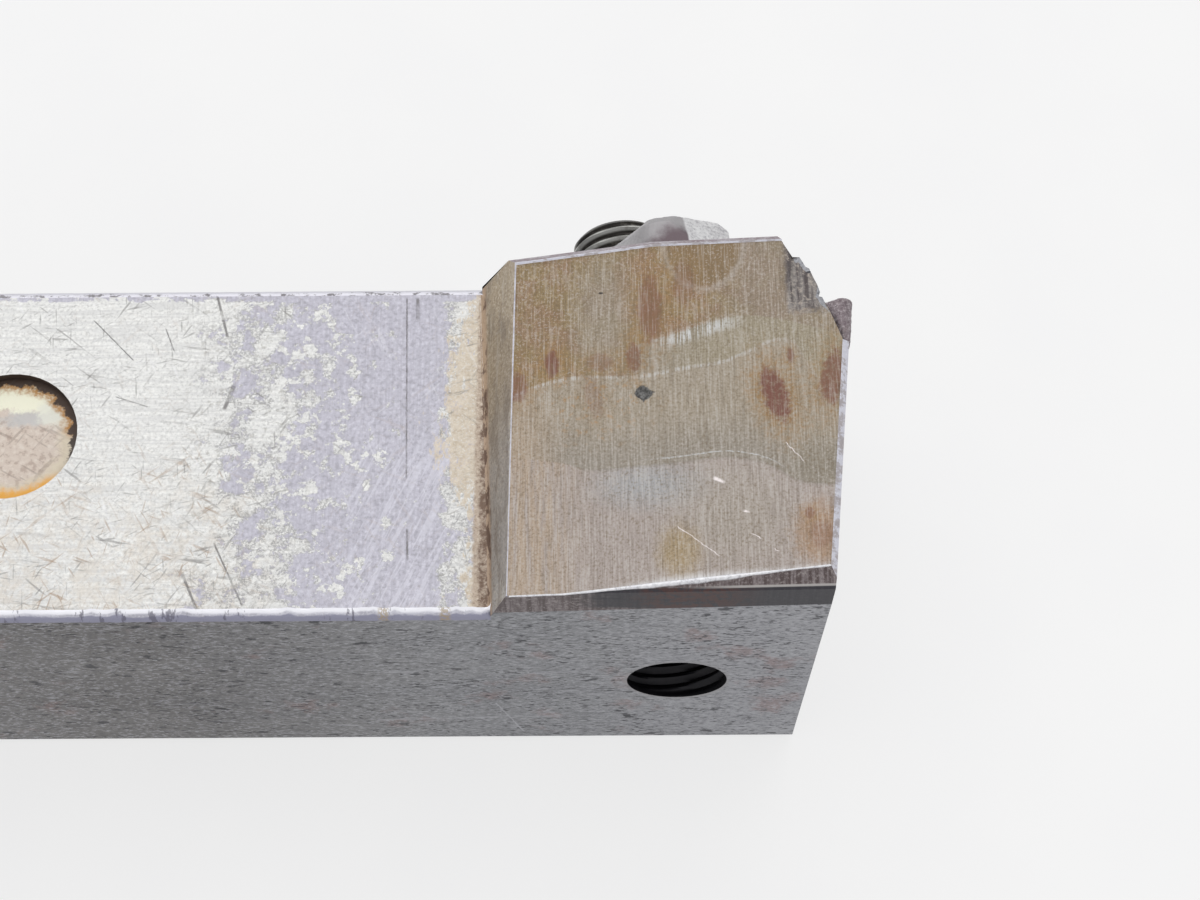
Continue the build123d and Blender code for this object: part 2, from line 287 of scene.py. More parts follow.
class Nodes(Tree):
    """Short way of laying out a material on Object coordinates. Lengths are in millimetres."""

    def __init__(self, name: str) -> None:
        """Starts an empty material."""
        self.material = bpy.data.materials.new(name)
        self.material.use_nodes = True
        super().__init__(self.material.node_tree)
        self.place = self.node("TexCoord").outputs["Object"]
        axes = self.node("SeparateXYZ", [(0, self.place)]).outputs
        self.x, self.y, self.z = (self.math("DIVIDE", axis, MM) for axis in axes)

    def noise(
        self, per_mm: float, detail: float = 4, rough: float = 0.55, warp: float = 0,
        stretch: Place = UNSTRETCHED, shift: Place = UNSHIFTED, turn: float = 0,
    ) -> Socket:
        """Noise on coordinates that can be turned about Z, stretched and shifted.

        Args:
            per_mm: features to the millimetre.
            detail: octaves of finer noise.
            rough: strength of the finer noise.
            warp: distortion.
            stretch: factors of the three coordinates.
            shift: shift of the coordinates.
            turn: turn in degrees.

        Returns:
            The noise, around 0.5.
        """
        at = self.place
        if (stretch, shift, turn) != (UNSTRETCHED, UNSHIFTED, 0):
            turned = self.node(
                "VectorRotate", [("Vector", at), ("Angle", math.radians(turn))], rotation_type="Z_AXIS"
            )
            location = [value * MM for value in shift]
            inputs = [("Vector", turned.outputs[0]), ("Location", location), ("Scale", stretch)]
            at = self.node("Mapping", inputs).outputs[0]
        values = (at, per_mm / MM, detail, rough, warp)
        names = ("Vector", "Scale", "Detail", "Roughness", "Distortion")
        return self.node("TexNoise", zip(names, values)).outputs["Fac"]

    def add(self, *values: Value) -> Value:
        """Sum of any number of values."""
        return reduce(partial(self.math, "ADD"), values)

    def times(self, *values: Value) -> Value:
        """Product of any number of values."""
        return reduce(partial(self.math, "MULTIPLY"), values)

    def less(self, value: Value, other: Value) -> Socket:
        """Difference of two values."""
        return self.math("SUBTRACT", value, other)

    def sway(self, source: Socket, size: float) -> Socket:
        """Noise turned into a wobble about zero."""
        return self.times(self.add(source, -0.5), size)

    def reach(self, *offs: Value, extra: Value = 0.0) -> Socket:
        """Length of the arm with the given parts, its square changed by an extra amount."""
        return self.math("SQRT", self.add(*(self.times(off, off) for off in offs), extra))

    def band(self, value: Value, low: float, high: float, out_low: float = 0, out_high: float = 1) -> Socket:
        """Smooth step of a value between two limits."""
        names = ("Value", "From Min", "From Max", "To Min", "To Max")
        inputs = zip(names, (value, low, high, out_low, out_high))
        return self.node("MapRange", inputs, interpolation_type="SMOOTHSTEP").outputs["Result"]

    def line(self, value: Value, wide: float, narrow: float) -> Socket:
        """Mask of what lies near zero, whole within the narrow limit and gone outside the wide one."""
        return self.band(self.math("ABSOLUTE", value), wide, narrow)

    def layers(self, colour: Shade, *rows: Layer) -> Shade:
        """Lays colours over one another, each row a colour and the factors of its share."""
        for over, *shares in rows:
            inputs = [(0, self.times(*shares)), (6, colour), (7, over)]
            colour = self.node("Mix", inputs, data_type="RGBA").outputs[2]
        return colour

    def curve(
        self, value: Socket, points: tuple[Pair, ...], out_low: float = 0, out_high: float = 1
    ) -> Socket:
        """Value that follows listed points.

        Args:
            value: the driving value.
            points: pairs of driving value and result, from the lowest driving value to the highest.
            out_low: result that lies at the curve's bottom.
            out_high: result that lies at its top.

        Returns:
            The result.
        """
        low, high = points[0][0], points[-1][0]
        node = self.node("FloatCurve", [("Value", self.math("DIVIDE", self.less(value, low), high - low))])
        line = node.mapping.curves[0]
        spots = [((x - low) / (high - low), (y - out_low) / (out_high - out_low)) for x, y in points]
        for spot in spots[1:-1]:
            line.points.new(*spot)
        line.points[0].location, line.points[-1].location = spots[0], spots[-1]
        node.mapping.update()
        return self.add(self.times(node.outputs[0], out_high - out_low), out_low)

    def turned(self, x: float, y: float, turn: float, upright: Socket) -> tuple[Socket, Socket]:
        """Distances from a place, along and across a direction in degrees from X."""
        off_x, off_y = self.less(self.x, x), self.less(upright, y)
        cosine, sine = math.cos(math.radians(turn)), math.sin(math.radians(turn))
        along = self.add(self.times(off_x, cosine), self.times(off_y, sine))
        return along, self.add(self.times(off_y, cosine), self.times(off_x, -sine))

    def blot(
        self, x: float, y: float, half_x: float, half_y: float,
        soft: float = 0.5, wobble: Value = 0.0, turn: float = 0,
    ) -> Socket:
        """Mask of a soft, ragged ellipse round a place in X and Y.

        Args:
            x: middle of the ellipse in X.
            y: middle in Y.
            half_x: half its length.
            half_y: half its width.
            soft: share of its size over which it fades.
            wobble: value that makes its rim ragged.
            turn: its direction, in degrees from X.

        Returns:
            The mask.
        """
        along, across = self.turned(x, y, turn, self.y)
        reach = self.reach(self.times(along, 1 / half_x), self.times(across, 1 / half_y))
        return self.band(self.add(reach, wobble), 1.0 + soft, 1.0 - soft)

    def stroke(
        self, start: Pair, end: Pair, width: float, wobble: Value = 0.0, upright: Socket | None = None
    ) -> Socket:
        """Mask of a scratch from one place to another.

        Args:
            start: place in X and the other axis.
            end: place in X and the other axis.
            width: width of the scratch.
            wobble: value that bends it sideways.
            upright: coordinate along the other axis, Y when none is given.

        Returns:
            The mask.
        """
        length = math.dist(start, end)
        turn = math.degrees(math.atan2(end[1] - start[1], end[0] - start[0]))
        middle = ((start[0] + end[0]) / 2, (start[1] + end[1]) / 2)
        along, across = self.turned(*middle, turn, upright or self.y)
        inside = self.line(along, length / 2, length / 2 - 0.3)
        return self.times(inside, self.line(self.add(across, wobble), width / 2, width / 6))

    def hairs(self, turn: float, per_mm: float, low: float, shift: float = 0, slim: float = 0.07) -> Socket:
        """Mask of fine straight scratches in one direction, in degrees from X."""
        shifted = (shift, shift, 0)
        streaks = self.noise(per_mm, 2, 0.4, stretch=(slim, 1, 1), shift=shifted, turn=-turn)
        return self.band(streaks, low, low + 0.06)

    def spread(self, base: Shade, deep: Colour, light: Colour, per_mm: float) -> Socket:
        """Breaks a colour up into small darker and lighter grains."""
        grain = self.noise(per_mm, 4, 0.7)
        dark, bright = self.band(grain, 0.48, 0.37, 0, 0.65), self.band(grain, 0.52, 0.63, 0, 0.6)
        return self.layers(base, (deep, dark), (light, bright))

    def finish(
        self, colour: Shade, metallic: float, rough: Value,
        height: Socket | None = None, depth: float = 0.0, strength: float = 1.0,
    ) -> Material:
        """Shades the material and gives it fine relief.

        Args:
            colour: base colour.
            metallic: how metallic it is.
            rough: its roughness.
            height: height field of the relief.
            depth: depth of the relief.
            strength: how strongly the relief shows.

        Returns:
            The finished material.
        """
        inputs = [("Base Color", colour), ("Metallic", metallic), ("Roughness", rough)]
        if height is not None:
            relief = [("Strength", strength), ("Distance", depth * MM), ("Height", height)]
            inputs.append(("Normal", self.node("Bump", relief).outputs[0]))
        self.surface = self.node("BsdfPrincipled", inputs)
        self.output = self.node("OutputMaterial", [(0, self.surface.outputs[0])])
        return self.material


# ------------------------------------------------------------------ finishes
@dataclass(frozen=True)
class SideSteel:
    """Grey milled steel of the plain faces, with small dark pits drawn out along X."""

    base: Colour = (140, 141, 144)
    dull: Colour = (117, 115, 114)
    light: Colour = (176, 176, 182)
    dark: Colour = (90, 90, 96)
    pit: Colour = (44, 44, 50)
    stain: Colour = (140, 112, 108)
    worn_rim: Colour = (150, 148, 150)
    hole: Place = (16.71, 16.15, 4.5)
    scratches: tuple = (
        ((0.0, 10.5), (2.4, 2.0), 0.22, 0.8), ((21.9, 18.9), (27.1, 18.6), 0.16, 0.6),
        ((-13.2, 23.1), (1.0, 23.6), 0.2, 0.5), ((-11.6, 5.8), (0.2, 6.4), 0.5, 0.7),
    )

    def make(self) -> Material:
        """Builds the material."""
        n = Nodes("side_steel")
        cloud = n.noise(0.12, 5, 0.62, stretch=(0.5, 1, 1))
        grain = n.noise(4.6, 3, 0.65, stretch=(0.45, 1, 1))
        dashes = n.noise(4.6, 2, 0.5, stretch=(0.3, 1, 1))
        large = n.noise(1.3, 3, 0.55, stretch=(0.4, 1, 1), shift=(40, 7, 3))
        stains = n.noise(0.16, 4, 0.6, shift=(9, 30, 5))
        fields = n.noise(0.3, 3, 0.6, stretch=(0.6, 1, 1), shift=(2, 2, 2))
        place = n.add(n.x, n.sway(cloud, 26))
        pits = n.most(n.band(dashes, 0.6, 0.66), n.band(large, 0.63, 0.68))
        pits = n.times(pits, n.band(fields, 0.36, 0.5, 0.25, 1.0))
        colour = n.layers(
            self.dull,
            (self.base, n.band(place, -34, 2)),
            (self.light, n.band(place, 4, 22, 0, 0.35)),
            (self.stain, n.band(stains, 0.58, 0.68), 0.5),
            (self.light, n.band(grain, 0.52, 0.63, 0, 0.65)),
            (self.dark, n.band(grain, 0.47, 0.36, 0, 0.55)),
            (self.pit, pits, 0.85),
            (self.light, n.most(n.hairs(-48, 1.1, 0.7, 3.0), n.hairs(8, 1.2, 0.69, 11.0, 0.04)), 0.4),
        )
        under = n.band(n.y, -15.5, -15.9)
        shown = n.times(under, n.band(cloud, 0.35, 0.55, 0.4, 1.0))
        for *place, share in self.scratches:
            line = n.stroke(*place, n.sway(grain, 0.3), n.z)
            colour = n.layers(colour, (self.light, line, shown, share))
        hole_x, hole_z, radius = self.hole
        off_z = n.less(n.z, hole_z)
        reach = n.reach(n.less(n.x, hole_x), off_z, extra=n.sway(grain, 1.2))
        rim = n.times(n.band(reach, radius + 0.55, radius + 0.05), n.band(off_z, 2.0, -3.0, 0.25, 0.8))
        colour = n.layers(colour, (self.worn_rim, under, rim))
        height = n.add(n.times(grain, 0.4), n.times(pits, -1.0))
        return n.finish(colour, 0.75, n.band(cloud, 0.3, 0.7, 0.42, 0.55), height, 0.03, 0.6)


@dataclass(frozen=True)
class BrightSide:
    """Bright scratched side of the shank, dull lavender where it wore through, tan near the shoulder."""

    bright: Colour = (226, 226, 224)
    soft: Colour = (204, 204, 204)
    patch: Colour = (184, 182, 194)
    patch_dull: Colour = (150, 148, 158)
    rim: Colour = (148, 147, 148)
    tan: Colour = (206, 194, 176)
    rust_hair: Colour = (168, 146, 126)
    dark_hair: Colour = (124, 122, 120)
    light_hair: Colour = (236, 236, 240)
    worn_share: tuple[Pair, ...] = (
        (-60, 0.0), (-30, 0.1), (-25, 0.26), (-22, 0.42), (-18, 0.5), (-14, 0.6), (-11, 0.76),
        (-8, 0.9), (-5.5, 0.84), (-4, 0.58), (-2.5, 0.42), (4, 0.38),
    )
    tan_edge: tuple[Pair, ...] = (
        (-16, -1.3), (-6, -1.2), (-4.2, -2.4), (-2, -3.5), (4, -3.9), (9.5, -3.0), (16, -0.6),
    )
    scratches: tuple = (
        ((-24.6, 15.3), (-23.3, 10.8), 0.3), ((-23.2, -9.0), (-20.3, -15.0), 0.2),
        ((-25.7, -11.8), (-24.1, -15.4), 0.3), ((-7.42, 15.0), (-6.85, -3.3), 0.16),
        ((-6.65, -7.8), (-6.5, -10.9), 0.22), ((-6.45, 15.0), (-6.35, 12.5), 0.4),
        ((-22.4, 6.2), (-23.2, 3.6), 0.5), ((-35.6, 12.9), (-31.5, 8.6), 0.12),
        ((-33.0, 5.1), (-29.8, 4.0), 0.14), ((-29.0, 12.0), (-28.0, 9.5), 0.14),
        ((-20.8, 5.6), (-19.6, 4.8), 0.16),
    )

    def hairlines(
        self, n: Nodes, turns: tuple[int, ...], tone: Colour, share: Value, low: float = 0.655
    ) -> list[Layer]:
        """Layers of fine short scratches of several directions.

        Args:
            n: the material's nodes.
            turns: directions in degrees from X.
            tone: colour of the scratches.
            share: how strongly they show.
            low: noise level above which a scratch shows.

        Returns:
            One layer for each direction.
        """
        clusters = n.band(n.noise(0.3, 4, 0.65, shift=(turns[0], 5, 0)), 0.42, 0.62, 0.25, 1.0)
        rows = []
        for index, turn in enumerate(turns):
            per_mm, slim = 2.6 + 0.7 * (index % 3), 0.09 + 0.03 * (index % 2)
            hair = n.hairs(turn, per_mm, low, 7.0 * index + turn / 5, slim)
            rows.append((tone, hair, share, clusters))
        return rows

    def bare(self, n: Nodes, coarse: Socket, ragged: Socket, border: Socket) -> Shade:
        """Bright metal, warm and dirty in places and dull round the worn patches."""
        brushed = n.noise(3.6, 3, 0.6, stretch=(0.04, 1, 1))
        warm = n.times(n.band(n.add(n.y, n.times(coarse, 14)), 7, -3), n.band(n.x, -15, -22))
        dirt = n.band(n.noise(1.5, 6, 0.74, 0.2, shift=(3, 8, 0)), 0.53, 0.62)
        near = n.times(n.band(n.x, -30, -24), n.band(n.x, -14, -18))
        return n.layers(
            n.spread(self.bright, (188, 188, 187), (246, 246, 244), 3.6),
            (self.soft, n.band(brushed, 0.42, 0.62, 0, 0.55)),
            ((206, 194, 178), warm, n.band(ragged, 0.4, 0.62), 0.4),
            ((172, 170, 164), dirt, n.add(n.times(near, 0.45), 0.1)),
            (self.rim, n.band(n.x, -30, -22), border, 0.75),
        )

    def worn(self, n: Nodes) -> Shade:
        """Lavender metal of the worn patches."""
        lines = n.noise(4.0, 3, 0.6, stretch=(1, 0.05, 1))
        fan = n.band(n.noise(3.2, 2, 0.5, stretch=(0.06, 1, 1), turn=-66), 0.5, 0.6)
        return n.layers(
            n.spread(self.patch, self.patch_dull, (208, 207, 218), 2.6),
            (self.patch_dull, n.band(lines, 0.42, 0.62, 0, 0.3)),
            ((206, 205, 216), fan, n.band(n.x, -14, -10), n.band(n.y, 3, -3), 0.55),
        )

    def make(self) -> Material:
        """Builds the material."""
        n = Nodes("bright_side")
        coarse = n.noise(0.26, 3, 0.6, shift=(6, 2, 0))
        ragged = n.noise(0.8, 9, 0.72, 0.2)
        fine = n.noise(4.5, 4, 0.7)
        crumbs = n.noise(0.55, 6, 0.66, shift=(17, 4, 9))
        blotchy = n.noise(1.3, 6, 0.75, stretch=(1, 0.45, 1), shift=(5, 0, 3))
        lean = n.times(n.curve(n.x, self.worn_share), 0.42)
        islands = n.times(n.band(crumbs, 0.53, 0.6), n.band(n.x, -5.5, -8.5), 0.17)
        edge = n.band(n.y, 14.35, 15.0, 0.0, 0.3)
        level = n.less(n.add(n.times(coarse, 0.5), n.times(ragged, 0.6), lean, edge, -0.26), islands)
        patch = n.band(level, 0.486, 0.514)
        border = n.times(n.band(level, 0.415, 0.48), n.band(level, 0.53, 0.495), n.band(fine, 0.44, 0.54))
        inside = n.less(n.add(n.x, n.sway(blotchy, 13.0)), n.curve(n.y, self.tan_edge, -6, 0))
        tan = n.times(n.band(inside, -0.4, 0.5), n.band(fine, 0.36, 0.5, 0.45, 1.0))
        rusty_place = n.add(n.times(n.band(n.y, 3, -5), n.band(n.x, -16, -24), 0.5), 0.12)
        root = n.add(n.x, n.sway(n.noise(1.8, 5, 0.7), 0.9))
        grimy = n.band(n.noise(0.9, 6, 0.75), 0.4, 0.58, 0.1, 1.0)
        grooves = 0.0
        for scratch in self.scratches:
            grooves = n.most(grooves, n.stroke(*scratch, n.sway(fine, 0.16)))
        dark_share = n.band(patch, 0, 1, 0.55, 0.16)
        rooted = n.spread((182, 166, 150), (128, 108, 96), (216, 206, 192), 3.0)
        colour = n.layers(
            self.bare(n, coarse, ragged, border),
            (self.worn(n), patch, 0.95),
            (n.spread(self.tan, (184, 168, 146), (222, 212, 196), 2.2), tan, 0.92),
            *self.hairlines(n, (38, -58, 76, -22), self.rust_hair, rusty_place, 0.64),
            *self.hairlines(n, (-38, 14, -84, 58, -8, 30), self.dark_hair, dark_share, 0.66),
            *self.hairlines(n, (-66, 46), self.light_hair, 0.22),
            (rooted, n.band(root, -1.1, -0.8), 0.95),
            ((96, 72, 58), n.band(root, -0.62, -0.25), grimy, 0.85),
            ((110, 107, 107), grooves, n.band(crumbs, 0.4, 0.56, 0.3, 0.8)),
        )
        height = n.add(n.times(ragged, 0.5), n.times(grooves, -2.0), n.times(fine, 0.3))
        return n.finish(colour, 0.5, n.band(patch, 0, 1, 0.5, 0.4), height, 0.03, 0.6)


@dataclass(frozen=True)
class GroundFace:
    """Side of the head, ground by hand in several passes and rusty in places."""

    olive: Colour = (136, 117, 84)
    olive_red: Colour = (136, 110, 86)
    streak: Colour = (144, 135, 121)
    middle: Colour = (152, 142, 127)
    middle_low: Colour = (141, 134, 124)
    low: Colour = (155, 145, 140)
    tan: Colour = (167, 148, 127)
    white: Colour = (206, 210, 214)
    rust: Colour = (110, 70, 63)
    rust_edge: Colour = (142, 110, 66)
    upper: tuple[Pair, ...] = (
        (0, 1.6), (2.7, 2.8), (4.0, 3.4), (6.9, 4.2), (13.7, 4.25), (17.2, 4.9), (20.5, 5.4),
        (22.8, 6.3), (25.6, 7.4), (26.8, 6.9), (28.0, 4.6), (34, -2),
    )
    second: tuple[Pair, ...] = (
        (0, 3.0), (10, 5.8), (13.8, 7.4), (16.4, 8.1), (19.6, 9.2), (22.2, 9.75), (24.2, 9.6), (34, 6.0),
    )
    lower: tuple[Pair, ...] = (
        (0, -3.2), (7.1, -4.0), (8.5, -4.5), (13.2, -4.4), (17.5, -4.1), (20.5, -3.8), (22.6, -4.1),
        (24.3, -4.7), (26.6, -6.2), (29.8, -6.7), (34, -6.7),
    )
    # Upper border of the painted highlight along the lower edge of the ground side.
    bottom: tuple[Pair, ...] = (
        (0, -15.8), (8, -15.8), (12, -15.2), (17, -14.4), (22, -14.2), (25, -14.1), (34, -13.4),
    )
    low_blots: tuple = (
        ((14.0, -6.2, 3.8, 1.8, 0.8), 0.7, (152, 156, 160)),
        ((21.0, -9.0, 4.2, 4.0, 0.8), 0.3, (152, 148, 132)),
        ((16.5, -12.4, 1.7, 2.2, 0.6), 0.75, (150, 130, 92)),
        ((28.2, -11.0, 2.0, 2.8, 0.5), 0.7, (158, 128, 102)),
    )
    spots: tuple = (
        (5.85, 5.6, 0.6, 1.2, 0, 0.9), (2.9, 3.4, 0.8, 1.3, 0, 0.7), (14.4, 10.9, 1.0, 3.1, 0, 0.6),
        (17.4, 13.2, 0.9, 2.2, 0, 0.35), (10.0, 5.6, 1.1, 0.8, 0, 0.4), (12.9, 5.9, 0.6, 1.4, 0, 0.65),
        (25.0, 1.9, 1.0, 2.5, 14, 1.0), (26.4, 5.6, 0.3, 0.7, 0, 0.7), (29.9, 3.4, 0.95, 2.5, -8, 0.8),
        (9.4, 2.3, 0.7, 1.9, 12, 0.3), (27.4, -9.3, 0.4, 0.5, 0, 0.6), (28.3, -11.3, 1.0, 1.2, 0, 0.35),
    )
    # White dashes that are painted glints.
    glint_marks: tuple = (
        ((19.4, -5.7), (20.5, -6.3), 0.4), ((21.8, -8.8), (22.5, -9.1), 0.28),
        ((16.3, -10.0), (19.9, -12.9), 0.09), ((22.4, -10.9), (23.4, -11.5), 0.12),
        ((25.6, -2.6), (27.2, -4.6), 0.08), ((24.3, -12.3), (24.8, -12.7), 0.1),
    )
    scoop: tuple = ((19.2, 17.6, 3.3, 4.7), (19.2, 17.6, 3.8, 5.3))

    def upper_part(
        self, n: Nodes, rag: Socket, grains: Socket, lines: Socket, cloud: Socket, over_second: Socket
    ) -> Shade:
        """Olive metal above the ridge, with the streaked facet under it."""
        glint = n.times(n.line(n.add(over_second, 0.5), 1.1, 0.1), n.blot(18.2, 8.6, 3.2, 2.4, 0.6))
        top = n.layers(
            self.olive,
            (self.olive_red, n.band(cloud, 0.42, 0.6)),
            ((110, 90, 60), n.band(grains, 0.48, 0.38, 0, 0.55)),
            ((168, 150, 120), n.band(grains, 0.54, 0.66, 0, 0.5)),
            (self.streak, n.blot(10.3, 10, 2.4, 6, 0.7, rag), 0.75),
            (self.middle_low, n.band(n.x, 18, 24, 0, 0.55)),
        )
        streaked = n.layers(self.streak, ((146, 137, 118), n.band(n.x, 13, 20)))
        facet = n.layers(top, (streaked, n.band(over_second, 0.1, -0.1)))
        return n.layers(
            top,
            (facet, n.band(n.x, 11.5, 13.6)),
            (self.white, glint, n.band(lines, 0.34, 0.6), 0.78),
        )

    def middle_part(self, n: Nodes, over_lower: Socket) -> Shade:
        """Tan and grey metal between the ridges."""
        return n.layers(
            self.middle,
            (self.middle_low, n.band(over_lower, 5.5, 0.3)),
            (self.tan, n.band(n.x, 8, 3), n.band(n.y, 6, -2), 0.7),
            ((132, 125, 112), n.blot(28.4, -4.6, 2.2, 2.4, 0.5), 0.6),
        )

    def lower_part(self, n: Nodes, rag: Socket) -> Shade:
        """Grey metal below the lower ridge, with patches of other colours."""
        strips = n.noise(1.6, 3, 0.65, stretch=(1, 0.1, 1), shift=(5, 0, 0))
        blots = ((tone, n.blot(*place, rag), share) for place, share, tone in self.low_blots)
        return n.layers(self.low, (self.tan, n.band(n.x, 10, 4.5), n.band(strips, 0.3, 0.6), 0.75), *blots)

    def rust_layers(self, n: Nodes, rag: Socket, grains: Socket) -> list[Layer]:
        """Layers of the rust spots with their halos, and of the rusty freckles."""
        rows = []
        for x, y, half_x, half_y, turn, share in self.spots:
            halo = n.blot(x, y, half_x * 2.1, half_y * 1.6, 0.6, n.times(rag, 2.2), turn)
            spot = n.blot(x, y, half_x, half_y, 0.3, n.times(rag, 1.5), turn)
            rows.append((self.rust_edge, halo, n.band(grains, 0.4, 0.58, 0.25, 1.0), 0.8 * share))
            rows.append((self.rust, spot, n.band(grains, 0.36, 0.54, 0.6, 1.0), 0.92 * share))
        freckles = n.times(n.band(n.noise(1.5, 5, 0.72), 0.54, 0.64), n.blot(9.6, 1.8, 4.4, 3.6, 0.8))
        return [*rows, ((156, 124, 84), freckles, 0.75)]

    def shadowed_hollow_metal(self, n: Nodes) -> Shade:
        """Fluted metal of the hollow beside the break, painted dark as the shadow that falls in the hollow.
        """
        flutes = n.noise(1.7, 3, 0.6, stretch=(1, 0.08, 1), shift=(1, 0, 0))
        hollow = n.layers((80, 74, 76), ((136, 131, 128), n.band(flutes, 0.42, 0.62)))
        return n.spread(hollow, (76, 72, 74), (180, 170, 160), 3.0)

    def make(self) -> Material:
        """Builds the material."""
        n = Nodes("ground_face")
        lines = n.noise(7.0, 1, 0.5, stretch=(1, 0.045, 1))
        cloud = n.noise(0.3, 5, 0.66)
        rag = n.sway(n.noise(1.8, 5, 0.68), 1.0)
        grains = n.noise(3.2, 4, 0.72)
        waver = n.times(rag, 0.35)
        over_upper, over_second = (
            n.add(n.less(n.y, n.curve(n.x, ridge, -18, 18)), waver) for ridge in (self.upper, self.second)
        )
        over_lower = n.less(n.y, n.curve(n.x, self.lower, -18, 18))
        edge_glint = n.times(n.line(n.add(over_upper, 0.15), 0.3, 0.04), n.band(n.x, 27, 22, 0.3, 1))
        shade = n.times(n.line(n.add(over_lower, 0.05), 0.3, 0.02), n.band(n.x, 7, 9))
        thread = n.line(n.add(over_lower, n.times(rag, 0.3), -0.5), 0.1, 0.02)
        thread = n.times(thread, n.band(n.x, 13, 16), n.band(n.x, 26, 24), n.band(grains, 0.36, 0.56))
        deep, ring = (n.blot(*place, 0.08, n.times(rag, 0.12)) for place in self.scoop)
        deep = n.times(deep, n.band(cloud, 0.2, 0.6, 0.6, 1.0))
        base = n.layers(
            self.middle_part(n, over_lower),
            (self.upper_part(n, rag, grains, lines, cloud, over_second), n.band(over_upper, -0.1, 0.1)),
            (self.white, edge_glint, n.band(lines, 0.4, 0.62), 0.42),
            (self.lower_part(n, rag), n.band(over_lower, 0.08, -0.08)),
            ((126, 120, 110), shade, 0.45),
            (self.white, thread, 0.6),
            ((166, 158, 150), ring, n.less(1.0, deep), 0.6),
            ((124, 103, 74), deep, 0.85),
        )
        # Mask of the hollow beside the break, which is painted dark as the shadow in it.
        torn = n.band(n.add(n.x, n.times(rag, 0.5)), 26.0, 26.6)
        torn = n.times(torn, n.band(n.add(n.y, n.times(rag, 2)), 9.5, 10.6))
        sides = zip((n.x, n.y), PIT_PLACE, PIT_SLOPES)
        off_pit = [n.math("ABSOLUTE", n.times(n.less(axis, at), slope)) for axis, at, slope in sides]
        pit = n.band(n.add(*off_pit, n.times(rag, 1.3)), 1.14, 0.94)
        # Strip along the lower edge of the ground side where a painted highlight fades in.
        rim = n.band(n.less(n.y, n.curve(n.x, self.bottom, -18, -10)), 0.3, -0.7)
        base = n.layers(
            n.spread(base, (118, 104, 84), (172, 164, 156), 4.6),
            *self.rust_layers(n, rag, grains),
            ((196, 192, 188), n.band(lines, 0.5, 0.7, 0.0, 0.24)),
            ((96, 86, 74), n.band(lines, 0.5, 0.3, 0.0, 0.26)),
            (self.shadowed_hollow_metal(n), torn, 0.92),
            (n.layers((72, 72, 72), ((118, 118, 118), n.band(grains, 0.4, 0.6))), pit, 0.95),
            ((50, 46, 46), n.blot(10.1, 12.5, 0.2, 0.1, 0.3), 0.9),
            # Painted glints.
            *(
                ((236, 228, 228), n.stroke(*mark, n.times(rag, 0.5)), n.band(grains, 0.3, 0.5), 0.85)
                for mark in self.glint_marks
            ),
            # Painted highlight along the lower edge of the ground side.
            ((214, 214, 216), rim, n.band(lines, 0.3, 0.6, 0.4, 1.0), n.band(n.x, 5, 10, 0.2, 0.85)),
        )
        height = n.add(lines, n.times(grains, 0.6), n.times(pit, -3.0))
        return n.finish(base, 0.6, n.band(over_lower, 1, -1, 0.46, 0.4), height, 0.03, 0.35)


@dataclass(frozen=True)
class GroundStrips:
    """Relief and bevel under the ground side: brown and lined, with a blue-black band."""

    brown: Colour = (86, 75, 75)
    pale: Colour = (130, 121, 122)
    black: Colour = (50, 50, 56)
    rust: Colour = (80, 56, 52)
    edge: Colour = (184, 180, 178)
    black_top: tuple[Pair, ...] = ((0, 34.4), (8, 34.4), (14, 34.0), (34, 34.5))

    def make(self) -> Material:
        """Builds the material."""
        n = Nodes("ground_strips")
        lines = n.noise(2.8, 3, 0.65, stretch=(1, 0.05, 0.05))
        cloud = n.noise(0.7, 4, 0.65)
        rag = n.sway(n.noise(1.2, 6, 0.72), 9.0)
        upright = n.less(n.y, n.add(-15.995, n.times(n.add(n.z, -33.0), 0.07)))
        relief = n.band(upright, 0.28, 0.18)
        height = n.less(n.z, n.curve(n.x, self.black_top, 30, 40))
        black = n.band(n.add(height, n.times(cloud, 0.8)), -0.6, 0.2)
        rusty = n.times(n.line(n.add(n.x, -18.0, rag), 6.5, 1.5), n.band(rag, -0.9, 0.4))
        colour = n.layers(self.brown, (self.pale, n.band(lines, 0.4, 0.64)))
        colour = n.layers(
            n.spread(colour, (84, 72, 70), (160, 152, 150), 3.5),
            (self.black, relief, n.band(n.add(n.x, n.times(rag, 0.5)), 7, 11), black, 0.92),
            (self.rust, rusty, relief, 0.85),
            (self.edge, n.line(n.add(upright, -0.22), 0.12, 0.04), n.band(n.x, 16, 22), 0.8),
        )
        return n.finish(colour, 0.6, 0.42, lines, 0.03, 0.5)


@dataclass(frozen=True)
class ShoulderFace:
    """Sloping shoulder: olive brown above, grey blue below, rusty in its root."""

    def make(self) -> Material:
        """Builds the material."""
        n = Nodes("shoulder_face")
        lines = n.noise(2.6, 3, 0.65, stretch=(1, 0.06, 0.5))
        cloud = n.noise(0.6, 5, 0.7, stretch=(1, 0.4, 1))
        rag = n.sway(n.noise(0.8, 4, 0.68), 6.0)
        grime = n.noise(1.1, 4, 0.7, stretch=(1, 0.35, 1), shift=(3, 9, 0))
        depth = n.less(n.z, n.times(n.noise(1.8, 4, 0.7), 0.7))
        foot = n.band(depth, 32.35, 31.9)
        colour = n.layers((170, 155, 133), ((172, 168, 164), n.band(n.add(n.y, rag), 6, -4)))
        colour = n.layers(
            n.spread(colour, (128, 114, 98), (204, 194, 180), 3.6),
            ((124, 112, 100), n.band(cloud, 0.48, 0.62), 0.5),
            ((188, 180, 168), n.band(lines, 0.5, 0.66, 0, 0.4)),
            ((178, 152, 128), foot, 0.8),
            ((84, 62, 52), foot, n.band(grime, 0.46, 0.56), 0.85),
        )
        return n.finish(colour, 0.6, 0.44, n.add(lines, cloud), 0.03, 0.5)


